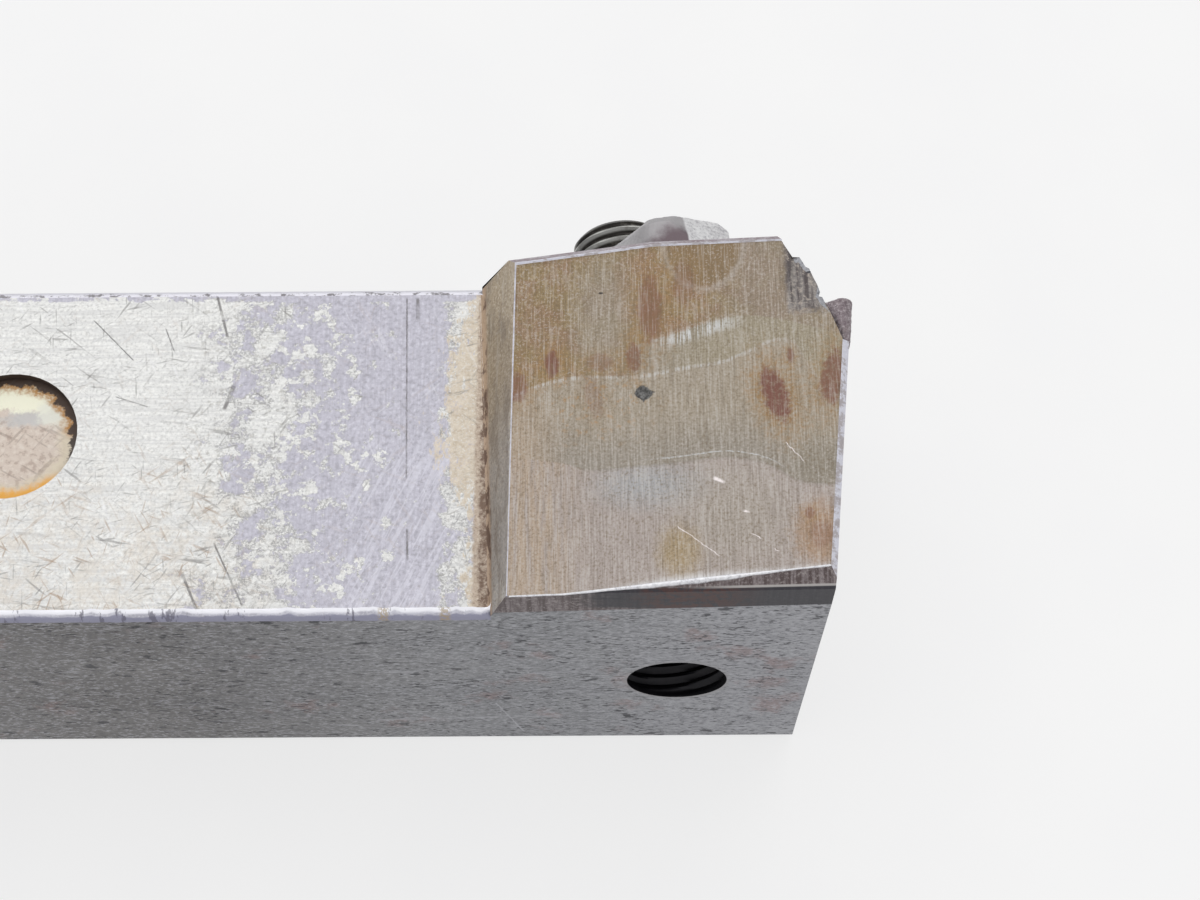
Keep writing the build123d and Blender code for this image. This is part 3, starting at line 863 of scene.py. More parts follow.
@dataclass(frozen=True)
class EdgeMetal:
    """Bright lavender metal of worn edges, partly a painted highlight, with a painted highlight along the
    top of the near edge and dark at the foot of the near edge.
    """

    base: Colour = (204, 204, 214)
    dull: Colour = (176, 175, 186)
    gold: Colour = (168, 150, 118)
    gold_spots: Pair = (-8.4, -3.2)

    def make(self) -> Material:
        """Builds the material."""
        n = Nodes("edge_metal")
        wear = n.noise(1.3, 6, 0.7, stretch=(0.5, 1, 1))
        fine = n.noise(5.0, 3, 0.6)
        notch = n.noise(1.1, 4, 0.7, stretch=(1, 0.3, 0.3), shift=(4, 0, 0))
        dots = n.noise(1.9, 5, 0.72, stretch=(0.7, 1, 1))
        shank = n.band(n.x, 1.2, 0.8)
        near = n.times(n.band(n.y, -14, -15), shank)
        far = n.times(n.band(n.y, 14, 15), shank)
        foot = n.add(n.z, n.sway(wear, 0.6))
        golden = (n.line(n.add(n.x, -x), 0.6, 0.25) for x in self.gold_spots)
        colour = n.layers(
            self.base,
            (self.dull, n.band(wear, 0.46, 0.64)),
            # Painted highlight along the top of the near edge's round.
            ((248, 248, 254), near, n.band(n.z, 31.84, 31.93), 0.9),
            ((238, 238, 242), n.band(fine, 0.5, 0.7, 0, 0.35)),
            ((140, 140, 160), near, n.band(foot, 31.82, 31.68), 0.9),
            ((104, 102, 116), near, n.band(notch, 0.58, 0.63), 0.75),
            ((214, 213, 220), far, 0.7),
            ((104, 100, 102), far, n.band(foot, 31.92, 31.97), n.band(dots, 0.5, 0.56), 0.85),
            *((self.gold, near, spot, n.band(fine, 0.4, 0.5), 0.7) for spot in golden),
            ((160, 150, 146), n.band(n.x, 2, 4), n.band(wear, 0.46, 0.56), 0.6),
        )
        return n.finish(colour, 0.7, 0.36, n.add(wear, fine), 0.03, 0.6)


@dataclass(frozen=True)
class CrestChamfer:
    """Purple-brown chamfer along the top of the head."""

    def make(self) -> Material:
        """Builds the material."""
        n = Nodes("crest_chamfer")
        cloud = n.noise(0.9, 5, 0.68, stretch=(0.4, 1, 1))
        colour = n.layers((172, 166, 172), ((132, 114, 120), n.band(cloud, 0.42, 0.6)))
        colour = n.spread(colour, (120, 100, 106), (200, 196, 200), 3.5)
        return n.finish(colour, 0.65, 0.4, cloud, 0.03, 0.6)


@dataclass(frozen=True)
class DarkBore:
    """Very dark metal inside the tapped hole and the slots."""

    def make(self) -> Material:
        """Builds the material."""
        n = Nodes("dark_bore")
        cloud = n.noise(0.7, 4, 0.6)
        colour = n.layers((14, 13, 19), ((27, 25, 29), n.band(cloud, 0.45, 0.7)))
        return n.finish(colour, 0.5, 0.5, cloud, 0.03, 0.5)


@dataclass(frozen=True)
class MarkResidue:
    """Old residue in the round mark: pinkish grey in the middle, yellow and orange at the rim, with a dark
    crescent at the upper right and a dark wall that are painted shadow with dirt.
    """

    patches: tuple = (
        ((-40.8, 3.5, 2.2, 0.9, 0.4), 0.8, (206, 206, 206)),
        ((-41.1, 5.3, 3.2, 1.5, 0.3), 0.95, (255, 254, 232)),
        ((-38.6, 3.9, 1.2, 1.3, 0.4), 0.8, (242, 242, 230)),
    )

    def make(self) -> Material:
        """Builds the material."""
        n = Nodes("mark_residue")
        ragged = n.noise(0.7, 6, 0.68)
        fine = n.noise(3.0, 5, 0.72)
        rag = n.sway(ragged, 2.6)
        off_x, off_y = (n.less(axis, at) for axis, at in zip((n.x, n.y), MARK_PLACE))
        reach = n.reach(off_x, off_y)
        wander = n.add(reach, rag)
        half_slope, slope = (n.add(off_y, n.times(off_x, lean)) for lean in (0.5, 0.8))
        scratched = n.most(n.hairs(-30, 2.2, 0.62, 3.0, 0.12), n.hairs(55, 2.2, 0.64, 9.0, 0.12))
        gold = n.times(n.band(wander, 4.4, 5.2), n.band(half_slope, 2.4, 3.6))
        colour = n.layers(
            n.spread((222, 208, 196), (182, 162, 150), (238, 228, 218), 1.6),
            ((150, 132, 122), scratched, 0.4),
            ((232, 220, 196), n.band(wander, 3.9, 5.0), 0.75),
            *((tone, n.blot(*place, rag), share) for place, share, tone in self.patches),
            ((250, 184, 74), n.band(wander, 4.5, 5.5), n.band(off_y, -2.8, -4.4), 0.95),
            ((184, 126, 46), gold, n.band(fine, 0.35, 0.55, 0.5, 1), 0.9),
            # Dark crescent at the upper right: painted shadow of the pocket's wall, with dirt.
            ((58, 46, 42), n.band(wander, 5.25, 5.5), n.band(slope, 1.4, 3.0), 0.95),
            # Dark wall of the pocket all round: painted shade with dirt.
            ((62, 50, 44), n.band(reach, 6.0, 6.06), 0.92),
        )
        return n.finish(colour, 0.2, 0.55, n.add(ragged, fine), 0.06, 0.6)


@dataclass(frozen=True)
class TornMetal:
    """Grey granular metal of the break beside the pocket."""

    def make(self) -> Material:
        """Builds the material."""
        n = Nodes("torn_metal")
        lines = n.noise(2.6, 3, 0.6, stretch=(1, 0.15, 1))
        colour = n.spread((122, 114, 112), (74, 66, 64), (196, 190, 186), 2.8)
        colour = n.layers(colour, ((84, 74, 72), n.band(lines, 0.5, 0.66, 0, 0.6)))
        return n.finish(colour, 0.65, 0.42, lines, 0.08, 0.8)


@dataclass(frozen=True)
class CastSteel:
    """Smooth cast steel of the clamp, light on top, with painted shade on its left flank and purplish brown
    low down.
    """

    def make(self) -> Material:
        """Builds the material."""
        n = Nodes("clamp_steel")
        cloud = n.noise(0.45, 4, 0.65)
        rag = n.sway(cloud, 1.6)
        # Mask of the clamp's left flank, which is painted darker as shade because it faces away from the
        # light.
        left = n.band(n.add(n.x, n.times(n.y, 0.16), n.times(rag, 0.2)), 22.05, 21.85)
        strong = n.blot(17.1, 22.7, 2.2, 1.7, 0.4, rag)
        weak = n.times(n.blot(14.2, 22.2, 3.4, 0.9, 0.5, rag), 0.6)
        colour = n.layers((212, 212, 213), ((196, 195, 197), n.band(cloud, 0.4, 0.62)))
        colour = n.layers(
            n.spread(colour, (150, 147, 152), (226, 225, 225), 3.2),
            # Painted shade on the left flank.
            ((154, 151, 153), left, n.band(n.x, 10, 15, 0.3, 0.9)),
            ((94, 78, 84), left, n.most(strong, weak), 0.88),
        )
        return n.finish(colour, 0.6, 0.44, n.noise(3.4, 4, 0.6), 0.05, 0.7)


@dataclass(frozen=True)
class ScrewSteel:
    """Dark threads with bright worn crests."""

    radius: float = 4.75

    def make(self) -> Material:
        """Builds the material."""
        n = Nodes("screw_steel")
        arm = n.node("VectorMath", [(0, n.place), (1, SCREW_FOOT)], operation="SUBTRACT")
        arm = n.node("VectorMath", [(0, arm.outputs[0]), (1, UPWARD)], operation="CROSS_PRODUCT")
        length = n.node("VectorMath", [(0, arm.outputs[0])], operation="LENGTH").outputs["Value"]
        reach = n.math("DIVIDE", length, MM)
        wear = n.noise(1.4, 4, 0.6)
        colour = n.layers(
            (58, 55, 52),
            ((182, 182, 178), n.band(reach, self.radius - 0.38, self.radius - 0.16)),
            ((120, 116, 108), n.band(wear, 0.5, 0.68, 0, 0.4)),
            ((110, 108, 106), n.band(reach, 4.0, 3.7)),
        )
        return n.finish(colour, 0.7, 0.36, wear, 0.02, 0.5)


@dataclass(frozen=True)
class SinteredShim:
    """Dark purple-grey sintered carbide with glinting grains."""

    def make(self) -> Material:
        """Builds the material."""
        n = Nodes("shim_carbide")
        cells = n.node("TexVoronoi", [("Vector", n.place), ("Scale", 3.0 / MM)]).outputs["Distance"]
        colour = n.layers(
            n.spread((134, 123, 127), (92, 78, 84), (186, 178, 180), 3.4),
            ((216, 210, 214), n.band(cells, 0.16, 0.05), 0.8),
            ((126, 112, 102), n.band(n.noise(0.6, 4, 0.6), 0.5, 0.7, 0, 0.4)),
        )
        return n.finish(colour, 0.5, 0.48, cells, 0.06, 0.8)


@dataclass(frozen=True)
class SmallScrewSteel:
    """Blackened steel of the shim screw."""

    def make(self) -> Material:
        """Builds the material."""
        n = Nodes("small_screw_steel")
        colour = n.spread((92, 90, 90), (62, 60, 60), (134, 130, 126), 1.6)
        return n.finish(colour, 0.8, 0.38, n.noise(1.6, 4, 0.6), 0.02, 0.5)


@dataclass(frozen=True)
class BurrMetal:
    """Freshly bright metal of a grinding burr."""

    def make(self) -> Material:
        """Builds the material."""
        n = Nodes("burr_metal")
        colour = n.spread((222, 222, 226), (172, 170, 176), (244, 244, 246), 3.0)
        return n.finish(colour, 0.6, 0.4, n.noise(4.0, 4, 0.65), 0.04, 0.6)


# ------------------------------------------------------------------ pieces
class Zone(Enum):
    """Regions of the holder body that are finished differently."""

    SIDE = 0
    BRIGHT = 1
    GROUND = 2
    STRIPS = 3
    SHOULDER = 4
    EDGE = 5
    CREST = 6
    BORE = 7
    MARK = 8
    TORN = 9


def in_zone(*zones: Zone) -> FaceTest:
    """Test that accepts the faces of the given regions."""
    values = {zone.value for zone in zones}
    return lambda face: face.material_index in values


def zone_edges(piece: Piece, *zones: Zone) -> set[Pair]:
    """Edges of the faces of the given regions, as pairs of vertex numbers."""
    wanted = in_zone(*zones)
    return {key for face in piece.data.polygons if wanted(face) for key in face.edge_keys}


def zone_points(piece: Piece, zone: Zone) -> set[int]:
    """Vertex numbers of the faces of one region."""
    wanted = in_zone(zone)
    return {index for face in piece.data.polygons if wanted(face) for index in face.vertices}


@dataclass
class HolderBody:
    """Shank and head in one piece, cut fine where the surface is ground, torn, nicked or tapped."""

    grid: float = 0.5 * MM
    pit_grid: float = 0.14 * MM
    hollow_grid: float = 0.2 * MM
    edge_grid: float = 0.35 * MM
    torn_grid: float = 0.25 * MM
    ground_floor: float = 34.5 * MM
    mark_radius: float = 6.3
    torn_from: Pair = (25.0, 11.2)
    bore_depth: float = 0.4 * MM
    bore_lead: float = 0.8 * MM
    worn_edge: float = 0.12 * MM
    edge_strips: int = 5
    hollow: Pair = (26.0, 9.6)
    nicks: tuple = (
        (-46.0, 0.5, 0.3), (-38.5, 0.7, 0.25), (-33.0, 0.35, 0.45), (-30.9, 0.5, 0.5), (-27.5, 1.2, 0.18),
        (-25.4, 0.5, 0.5), (-21.0, 0.9, 0.15), (-16.5, 0.4, 0.5), (-13.0, 1.5, 0.15), (-10.1, 0.5, 0.35),
        (-9.2, 0.35, 0.5), (-7.4, 0.3, 0.5), (-4.6, 0.8, 0.2), (-2.2, 0.35, 0.5), (-1.0, 0.4, 0.35),
    )

    def zone(self, face: Face) -> Zone:
        """Names the region that a face of the uncut copy belongs to.

        Args:
            face: the face.

        Returns:
            The region.
        """
        centre, normal = face.center, face.normal
        x, y, z = (value / MM for value in centre)
        arm, _, _ = from_axis(centre)
        if arm.length < BORE_RADIUS + 0.9 * MM and abs(normal.dot(UPWARD)) < 0.75 and y < 19:
            return Zone.BORE
        if math.dist((x, y), MARK_PLACE) < self.mark_radius and 30.9 < z < 31.99:
            return Zone.MARK
        if x > self.torn_from[0] and y > self.torn_from[1] and z > 36 and abs(normal.z) < 0.3:
            return Zone.TORN
        if normal.z > 0.985 and centre.z > self.ground_floor:
            return Zone.GROUND
        if z > 32.3 and x > 1.0 and y < -12.5 and normal.y < -0.2 and normal.x < 0.6:
            return Zone.STRIPS
        if z > 32.02 and x < 4.2 and normal.x < -0.3 and normal.z > 0.05:
            return Zone.SHOULDER
        if x < 1 and 30 < z < 32.1 and normal.z > 0.3 and abs(normal.y) > 0.3:
            return Zone.EDGE
        if z > 34.5 and normal.z > 0.4 and normal.x > 0.3:
            return Zone.EDGE
        if z > 34.5 and normal.z > 0.4 and normal.y > 0.3:
            return Zone.CREST
        if z > 31.9 and x < 1.2 and normal.z > 0.8:
            return Zone.BRIGHT
        return Zone.SIDE

    def near_pit(self, face: Face) -> bool:
        """Tells whether a ground face lies by the pit."""
        place = face.center.xy / MM
        return in_zone(Zone.GROUND)(face) and math.dist(place, PIT_PLACE) < 1.5

    def near_hollow(self, face: Face) -> bool:
        """Tells whether a ground face lies in the hollow beside the break."""
        x, y = face.center.xy / MM
        return in_zone(Zone.GROUND)(face) and x > self.hollow[0] and y > self.hollow[1]

    def shank_edge(self, face: Face) -> bool:
        """Tells whether a face belongs to the edges of the shank."""
        return in_zone(Zone.EDGE)(face) and face.center.z < 32.1 * MM

    def shape_ground(self, place: Vector) -> float:
        """Height that the hand grinding leaves above or below the flat ground side.

        Args:
            place: a point of the ground side.

        Returns:
            The height in metres.
        """
        x, y = place.x / MM, place.y / MM
        upper = 2.0 + 0.21 * x
        lower = -4.0 - 0.02 * x
        height = -0.012 * max(0.0, y - upper) - 0.01 * max(0.0, lower - y)
        height += 0.02 * ripple(place, 6.0) + 0.006 * ripple(place, 1.5, 7.0)
        reach = abs(x - PIT_PLACE[0]) * PIT_SLOPES[0] + abs(y - PIT_PLACE[1]) * PIT_SLOPES[1]
        height -= 0.3 * clamped(3.0 * (1.0 - reach))
        scoop = clamped((x - self.hollow[0]) / 0.8) * clamped((y - self.hollow[1]) / 2.0)
        height -= scoop * (0.3 + 0.1 * math.sin(5.6 * x) + 0.12 * ripple(place, 0.8, 3.0))
        return height * MM

    def wear_ridges(self, piece: Piece) -> None:
        """Breaks the ridge and the top edge of the ground side with a narrow bright bevel."""
        worn = zone_edges(piece, Zone.GROUND) & zone_edges(piece, Zone.SHOULDER, Zone.CREST)
        select_faces(piece, lambda face: False)
        bpy.context.tool_settings.mesh_select_mode = (False, True, False)
        for edge in piece.data.edges:
            edge.select = edge.key in worn
        activate(piece)
        bpy.ops.object.mode_set(mode="EDIT")
        bpy.ops.mesh.bevel(offset=self.worn_edge, segments=2, affect="EDGES", material=Zone.EDGE.value)
        bpy.ops.object.mode_set(mode="OBJECT")

    def blend_foot(self, piece: Piece) -> None:
        """Lets the top of the head rise smoothly from the top of the shank."""
        slice_faces(
            piece, lambda face: face.normal.y > 0.9 and face.center.y > HALF_HEIGHT,
            ALONG, 2.6 * MM, 2.7 * MM, MM,
        )
        for vertex in piece.data.vertices:
            if vertex.co.y > 16.1 * MM and vertex.co.x < 0:
                vertex.co.y = HALF_HEIGHT - (0.25 * MM if vertex.co.z > 31 * MM else -0.02 * MM)

    def cut_fine(self, piece: Piece) -> None:
        """Cuts the regions that get relief into small faces."""
        ground = in_zone(Zone.GROUND)
        slice_faces(piece, ground, ALONG, 2 * MM, 33 * MM, self.grid)
        slice_faces(piece, ground, ACROSS, -16 * MM, 18 * MM, self.grid)
        for test, fine in ((self.near_pit, self.pit_grid), (self.near_hollow, self.hollow_grid)):
            mesh = piece.data
            indices = [index for face in mesh.polygons if test(face) for index in face.vertices]
            corners = [mesh.vertices[index].co.copy() for index in indices]
            for axis in (ALONG, ACROSS):
                reach = [corner.dot(axis) for corner in corners]
                slice_faces(piece, test, axis, min(reach) + fine, max(reach), fine)
        strip = EDGE_ROUND * math.sqrt(2) / self.edge_strips
        for side in (1, -1):
            slope = Vector((0, side, 1)).normalized()
            low = Vector((0, -side * HALF_HEIGHT, SHANK_SIDE - EDGE_ROUND)).dot(slope)
            slice_faces(
                piece, lambda face: self.shank_edge(face) and face.normal.y * side < 0,
                slope, low + strip, low + strip * (self.edge_strips - 0.5), strip,
            )
        slice_faces(piece, self.shank_edge, ALONG, -53 * MM, 0, self.edge_grid)
        slice_faces(piece, in_zone(Zone.TORN), AHEAD, 36 * MM, 39 * MM, self.torn_grid)
        start = SCREW_FOOT.dot(UPWARD) - 34.5 * MM
        slice_faces(piece, in_zone(Zone.BORE), UPWARD, start, start + 9 * MM, THREAD_PITCH / 6)

    def move_edge(self, place: Vector) -> None:
        """Rounds a point of the shank's edge bevels and dents it where the edge is nicked."""
        side = math.copysign(1.0, place.y)
        centre = Vector((place.x, side * (HALF_HEIGHT - EDGE_ROUND), SHANK_SIDE - EDGE_ROUND))
        x = place.x / MM
        dent = 0.03 + 0.05 * ripple(place, 1.1)
        if side < 0:
            shares = (depth * math.exp(-(((x - at) / width) ** 2)) for at, width, depth in self.nicks)
            dent += 0.35 * sum(shares)
        else:
            dent = 0.05 * ripple(place, 1.6, 4.0) * clamped(-x / 8)
        dent = max(0.0, dent) * MM
        if SHANK_SIDE - place.z < 0.01 * MM:
            place.y += -side * dent * 0.7
        elif HALF_HEIGHT - abs(place.y) < 0.01 * MM:
            place.z -= dent * 0.5
        else:
            arm = place - centre
            place += arm.normalized() * (EDGE_ROUND - arm.length - dent * 0.6)

    def move_points(self, piece: Piece) -> None:
        """Moves the fine points of the ground side, the edges, the break and the thread."""
        vertices = piece.data.vertices
        ground = zone_points(piece, Zone.GROUND)
        for index in ground:
            vertices[index].co.z += self.shape_ground(vertices[index].co)
        for index in zone_points(piece, Zone.EDGE) - ground:
            if vertices[index].co.z < 32.01 * MM and vertices[index].co.x < 0.3 * MM:
                self.move_edge(vertices[index].co)
        for index in zone_points(piece, Zone.TORN) - ground:
            place = vertices[index].co
            place += Vector((ripple(place, 0.8), ripple(place, 0.7, 5.0), 0)) * 0.09 * MM
        for index in zone_points(piece, Zone.BORE):
            place = vertices[index].co
            arm, along, angle = from_axis(place)
            lead = clamped((place.y + HALF_HEIGHT) / self.bore_lead - 0.3)
            if along < -25 * MM:
                place += arm.normalized() * self.bore_depth * thread_dip(along, angle) * lead

    def make(self) -> Piece:
        """Builds the piece and dresses its faces.

        Returns:
            The finished piece.
        """
        piece = copy_node("holder_body", "holder_steel")
        finishes = {
            Zone.SIDE: SideSteel(), Zone.BRIGHT: BrightSide(), Zone.GROUND: GroundFace(),
            Zone.STRIPS: GroundStrips(), Zone.SHOULDER: ShoulderFace(), Zone.EDGE: EdgeMetal(),
            Zone.CREST: CrestChamfer(), Zone.BORE: DarkBore(), Zone.MARK: MarkResidue(),
            Zone.TORN: TornMetal(),
        }
        for zone in Zone:
            piece.data.materials.append(finishes[zone].make())
        for face in piece.data.polygons:
            face.material_index = self.zone(face).value
        self.blend_foot(piece)
        self.wear_ridges(piece)
        self.cut_fine(piece)
        self.move_points(piece)
        smooth(piece, 28)
        flat = in_zone(Zone.SIDE, Zone.BRIGHT, Zone.STRIPS, Zone.TORN, Zone.CREST)
        for face in piece.data.polygons:
            face.use_smooth = not flat(face)
        seat(piece, Body.HOLDER, Slot.BODY, "holder_body")
        return piece


@dataclass
class GrindingBurr:
    """Bright burr that the grinding left along the lower edge and the front edge of the ground side."""

    widths: tuple[Pair, ...] = (
        (2.2, 0.11), (5.0, 0.1), (8.0, 0.12), (11.0, 0.17), (14.0, 0.27), (17.5, 0.34), (20.5, 0.32),
        (22.5, 0.2), (25.0, 0.12), (27.5, 0.1), (28.4, 0.16), (29.6, 0.08), (31.0, 0.06),
    )
    depth: float = 0.5
    resolution: int = 2
    column: float = 0.5 * MM

    def make(self, ground: Piece) -> Piece:
        """Builds the burr along the edge of the ground side.

        Args:
            ground: the holder piece that the burr sits on.

        Returns:
            The burr.
        """
        curve = bpy.data.curves.new("grinding_burr", "CURVE")
        curve.dimensions = "3D"
        curve.bevel_depth = self.depth * MM
        curve.bevel_resolution = self.resolution
        curve.use_fill_caps = True
        line = curve.splines.new("POLY")
        edge = self.edge_line(ground)
        line.points.add(len(edge) - 1)
        for point, place in zip(line.points, edge):
            width = self.width(place.x / MM) * (0.8 + 0.3 * ripple(place, 1.4))
            point.co = (*(place + Vector((0, -0.2 * width, -0.55 * width)) * MM), 1)
            point.radius = width / self.depth
        piece = add_object("grinding_burr", curve)
        activate(piece)
        bpy.ops.object.convert(target="MESH")
        bpy.ops.object.shade_smooth()
        piece.data.materials.append(BurrMetal().make())
        seat(piece, Body.HOLDER, Slot.BODY)
        return piece

    def width(self, x: float) -> float:
        """Half width of the burr at a place along the edge, in millimetres."""
        for (left, one), (right, other) in zip(self.widths, self.widths[1:]):
            if left <= x <= right:
                return one + (other - one) * (x - left) / (right - left)
        return self.widths[0][1] if x < self.widths[0][0] else self.widths[-1][1]

    def edge_line(self, ground: Piece) -> list[Vector]:
        """Points of the lower edge of the ground side, from the shoulder forward."""
        shared = zone_edges(ground, Zone.GROUND) & zone_edges(ground, Zone.STRIPS)
        columns: dict[int, list[Vector]] = {}
        for index in {index for key in shared for index in key}:
            place = ground.data.vertices[index].co
            columns.setdefault(round(place.x / self.column), []).append(place.copy())
        return [sum(places, Vector()) / len(places) for _, places in sorted(columns.items())]


@dataclass
class ClampScrew:
    """Screw with a cut thread at each end, a plain neck and a hexagon socket."""

    top_radius: float = 4.75 * MM
    low_radius: float = 4.44 * MM
    neck_radius: float = 3.8 * MM
    neck_low: float = -2.9 * MM
    neck_high: float = 0.1 * MM
    depth: float = 0.52 * MM
    bevel: float = 0.7 * MM
    socket: float = 5.0 * MM
    socket_depth: float = 5.0 * MM
    around: int = 72
    rings_per_pitch: int = 8

    def ends(self) -> Pair:
        """Lower and upper end of the screw along its axis."""
        points = [from_axis(vertex.co)[1] for vertex in frame["nodes"]["clamp_screw"].data.vertices]
        return min(points), max(points)

    def radius(self, along: float, angle: float, low: float, high: float) -> float:
        """Radius of the screw's surface at a place.

        Args:
            along: distance along the axis.
            angle: angle round the axis.
            low: lower end of the screw.
            high: upper end of the screw.

        Returns:
            The radius.
        """
        if self.neck_low <= along <= self.neck_high:
            return self.neck_radius
        crest = self.top_radius if along > 0 else self.low_radius
        limit = crest - max(0.0, self.bevel - min(high - along, along - low))
        return min(limit, crest - self.depth * thread_dip(along, angle))

    def make(self) -> Piece:
        """Builds the screw.

        Returns:
            The finished piece.
        """
        low, high = self.ends()
        rings = round((high - low) / THREAD_PITCH * self.rings_per_pitch)
        deselect()
        bpy.ops.mesh.primitive_circle_add(
            vertices=self.around, radius=self.top_radius, fill_type="NGON", location=(0, 0, low)
        )
        piece = bpy.context.object
        piece.name = "clamp_screw_threaded"
        bpy.ops.object.transform_apply(location=True, rotation=True, scale=True)
        bpy.context.tool_settings.mesh_select_mode = (True, False, False)
        bpy.ops.object.mode_set(mode="EDIT")
        bpy.ops.mesh.select_all(action="SELECT")
        for _ in range(rings):
            bpy.ops.mesh.extrude_region_move(TRANSFORM_OT_translate={"value": (0, 0, (high - low) / rings)})
        bpy.ops.mesh.select_all(action="SELECT")
        bpy.ops.mesh.normals_make_consistent(inside=False)
        bpy.ops.object.mode_set(mode="OBJECT")
        for vertex in piece.data.vertices:
            angle = math.atan2(vertex.co.y, vertex.co.x)
            reach = self.radius(vertex.co.z, angle, low, high)
            vertex.co.x, vertex.co.y = reach * math.cos(angle), reach * math.sin(angle)
        self.cut_socket(piece, high)
        turn = Matrix((FORWARD, UPWARD.cross(FORWARD), UPWARD)).transposed().to_4x4()
        piece.data.transform(Matrix.Translation(SCREW_FOOT) @ turn)
        smooth(piece, 38)
        piece.data.materials.append(ScrewSteel().make())
        seat(piece, Body.SCREW, Slot.SCREW, "clamp_screw")
        return piece

    def cut_socket(self, piece: Piece, high: float) -> None:
        """Cuts the hexagon socket into the upper end."""
        deselect()
        bpy.ops.mesh.primitive_cylinder_add(
            vertices=6, radius=self.socket / math.sqrt(3), depth=2 * self.socket_depth, location=(0, 0, high)
        )
        cutter = bpy.context.object
        cut = piece.modifiers.new("socket", "BOOLEAN")
        cut.operation = "DIFFERENCE"
        cut.object = cutter
        apply_modifiers(piece)
        bpy.data.objects.remove(cutter)


@dataclass
class SkinnedPiece:
    """Copy of a CAD node with softened edges and an even skin of small faces that is then made uneven."""

    softness: float
    segments: int
    voxel: float
    grain: float
    smooth_angle: float

    def moved(self, place: Vector, normal: Vector) -> Vector:
        """Place that a point of the skin moves to."""
        raise NotImplementedError

    def skin(self, node: str, name: str) -> Piece:
        """Copies a node and gives the copy its skin.

        Args:
            node: name of the CAD node.
            name: name of the piece.

        Returns:
            The piece, without a material.
        """
        piece = copy_node(node, name)
        bevel = piece.modifiers.new("soft_edges", "BEVEL")
        bevel.width = self.softness
        bevel.segments = self.segments
        bevel.limit_method = "ANGLE"
        bevel.angle_limit = math.radians(25)
        remesh = piece.modifiers.new("skin", "REMESH")
        remesh.mode = "VOXEL"
        remesh.voxel_size = self.voxel
        apply_modifiers(piece)
        normals = [vertex.normal.copy() for vertex in piece.data.vertices]
        for vertex, normal in zip(piece.data.vertices, normals):
            vertex.co = self.moved(vertex.co, normal)
        smooth(piece, self.smooth_angle)
        return piece


@dataclass
class Clamp(SkinnedPiece):
    """Clamp with an uneven cast skin."""

    softness: float = 0.45 * MM
    segments: int = 3
    voxel: float = 0.2 * MM
    grain: float = 0.02 * MM
    smooth_angle: float = 50
    waviness: float = 0.05 * MM
    bore: float = 4.86 * MM

    def moved(self, place: Vector, normal: Vector) -> Vector:
        """Place that a point moves to: out of the bore's way, or sunk where the casting is uneven."""
        arm, along, _ = from_axis(place)
        if arm.length < self.bore + 0.3 * MM:
            return place + arm.normalized() * max(0.0, self.bore - arm.length)
        if along > 0.8 * MM:
            sink = self.waviness * (ripple(place, 2.2) - 0.9) + self.grain * (ripple(place, 0.5, 3.0) - 0.5)
            return place + normal * sink
        return place

    def make(self) -> Piece:
        """Builds the clamp."""
        piece = self.skin("clamp", "clamp_casting")
        piece.data.materials.append(CastSteel().make())
        seat(piece, Body.CLAMP, Slot.CLAMP, "clamp")
        return piece


@dataclass
class ShimSet(SkinnedPiece):
    """Shim with a granular skin, and its screw."""

    softness: float = 0.1 * MM
    segments: int = 2
    voxel: float = 0.16 * MM
    grain: float = 0.04 * MM
    smooth_angle: float = 60

    def moved(self, place: Vector, normal: Vector) -> Vector:
        """Place that a point moves to, sunk between the grains."""
        return place + normal * self.grain * (ripple(place, 0.35) - 0.7)

    def make(self) -> Piece:
        """Builds the shim and dresses the shim screw."""
        piece = self.skin("shim", "shim_plate")
        piece.data.materials.append(SinteredShim().make())
        seat(piece, Body.HOLDER, Slot.SHIM, "shim")
        mesh = frame["nodes"]["shim_screw"].data
        mesh.materials.clear()
        mesh.materials.append(SmallScrewSteel().make())
        return piece


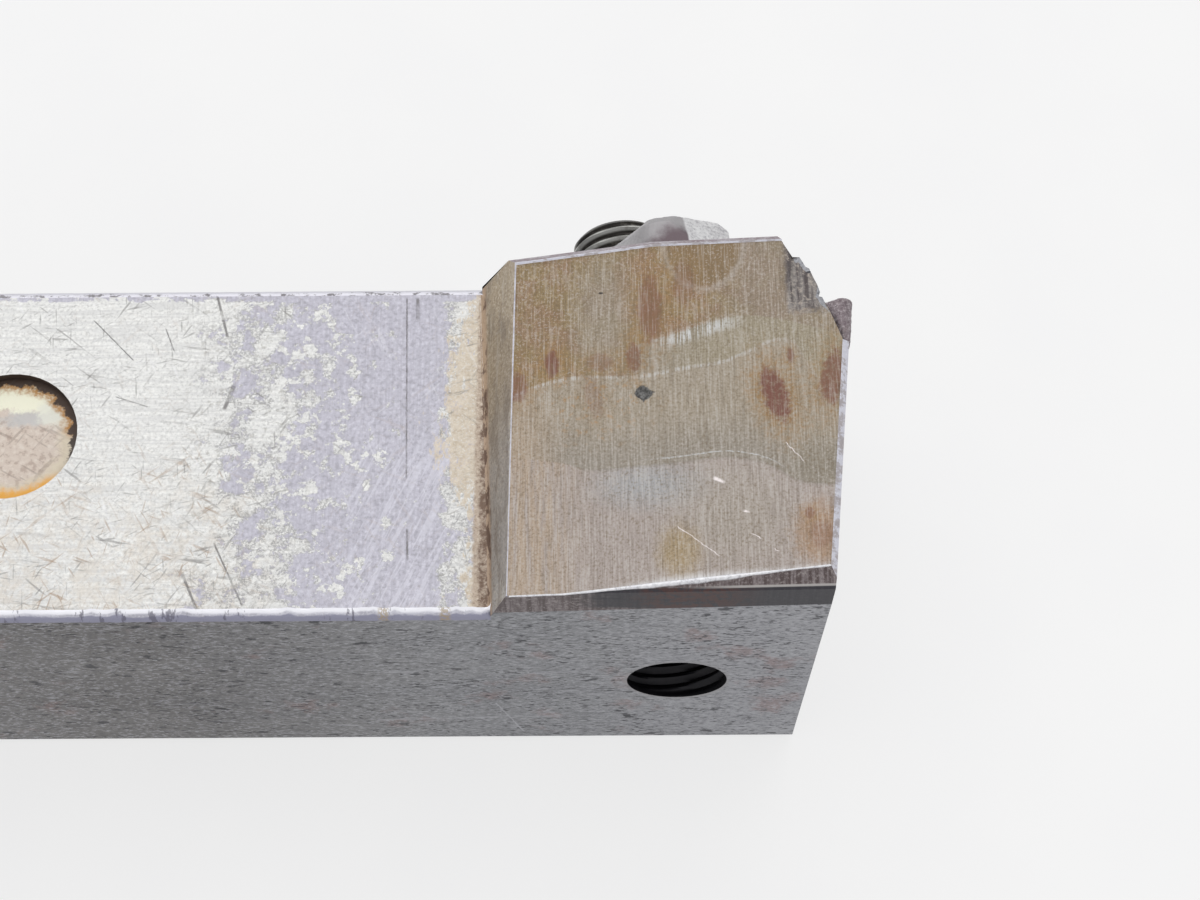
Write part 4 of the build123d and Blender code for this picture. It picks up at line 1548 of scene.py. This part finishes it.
# ------------------------------------------------------------------ studio
@dataclass
class Studio:
    """Floor, light and camera."""

    elevation: float = 63.96
    roll: float = -1.03
    yaw: float = -0.71
    lens: float = 66.85
    camera_place: Vector = field(default_factory=lambda: Vector((11.0, -85.8, 206.6)) * MM)
    floor_glow: float = 0.7
    ambient: float = 0.6
    key_size: float = 1.6
    key_glow: float = 0.58
    key_place_mm: Place = (-150, 700, 900)

    def camera(self) -> None:
        """Sets the camera up above the tool's bottom side."""
        data = bpy.data.cameras.new("camera")
        data.lens = self.lens
        data.sensor_width = 36
        data.clip_start = 0.01
        data.clip_end = 10
        camera = add_object("camera", data)
        tilt, swing, lean = (math.radians(angle) for angle in (self.elevation, self.yaw, self.roll))
        ahead = Vector((math.sin(swing) * math.cos(tilt), math.cos(swing) * math.cos(tilt), -math.sin(tilt)))
        level = Vector((math.cos(swing), -math.sin(swing), 0))
        above = level.cross(ahead)
        right = math.cos(lean) * level + math.sin(lean) * above
        up = -math.sin(lean) * level + math.cos(lean) * above
        turn = Matrix((right, up, -ahead)).transposed().to_4x4()
        camera.matrix_world = Matrix.Translation(self.camera_place) @ turn
        bpy.context.scene.camera = camera

    def floor(self) -> None:
        """Lays a white paper floor under the holder."""
        deselect()
        bpy.ops.mesh.primitive_plane_add(size=4, location=(0, 0, -0.02 * MM))
        floor = bpy.context.object
        floor.name = "floor"
        n = Nodes("floor_paper")
        fibre = n.noise(0.05, 3, 0.5)
        paper = n.layers((244, 244, 246), ((250, 250, 250), n.band(fibre, 0.3, 0.7)))
        material = n.finish(paper, 0.0, 0.9)
        glow = n.node("Emission").outputs[0]
        share = n.times(n.seen_rays(), self.floor_glow)
        blend = n.node("MixShader", enumerate((share, n.surface.outputs[0], glow)))
        n.tree.links.new(blend.outputs[0], n.output.inputs[0])
        floor.data.materials.append(material)

    def key(self) -> None:
        """Hangs one large soft lamp above and behind the holder."""
        data = bpy.data.lights.new("key", "AREA")
        data.size = self.key_size
        data.energy = self.key_glow * math.pi * self.key_size ** 2
        lamp = add_object("key", data)
        lamp.location = Vector(self.key_place_mm) * MM
        lamp.rotation_euler = (-lamp.location).to_track_quat("-Z", "Y").to_euler()

    def world(self) -> None:
        """Lights the scene evenly and shows white behind it."""
        world = bpy.data.worlds.new("studio")
        bpy.context.scene.world = world
        world.use_nodes = True
        tree = Tree(world.node_tree)
        lights = (
            tree.node("Background", [("Color", (255, 255, 255)), ("Strength", strength)]).outputs[0]
            for strength in (self.ambient, 1.0)
        )
        blend = tree.node("MixShader", enumerate((tree.seen_rays(), *lights)))
        tree.node("OutputWorld", [(0, blend.outputs[0])])

    def build(self) -> None:
        """Builds the whole studio."""
        self.floor()
        self.key()
        self.world()
        self.camera()


def main() -> None:
    """Builds every piece and the studio."""
    logging.basicConfig(level=logging.INFO)
    bpy.context.scene.view_settings.view_transform = "Standard"
    GrindingBurr().make(HolderBody().make())
    Clamp().make()
    ClampScrew().make()
    ShimSet().make()
    Studio().build()
    deselect()


if __name__ == "__main__":
    main()
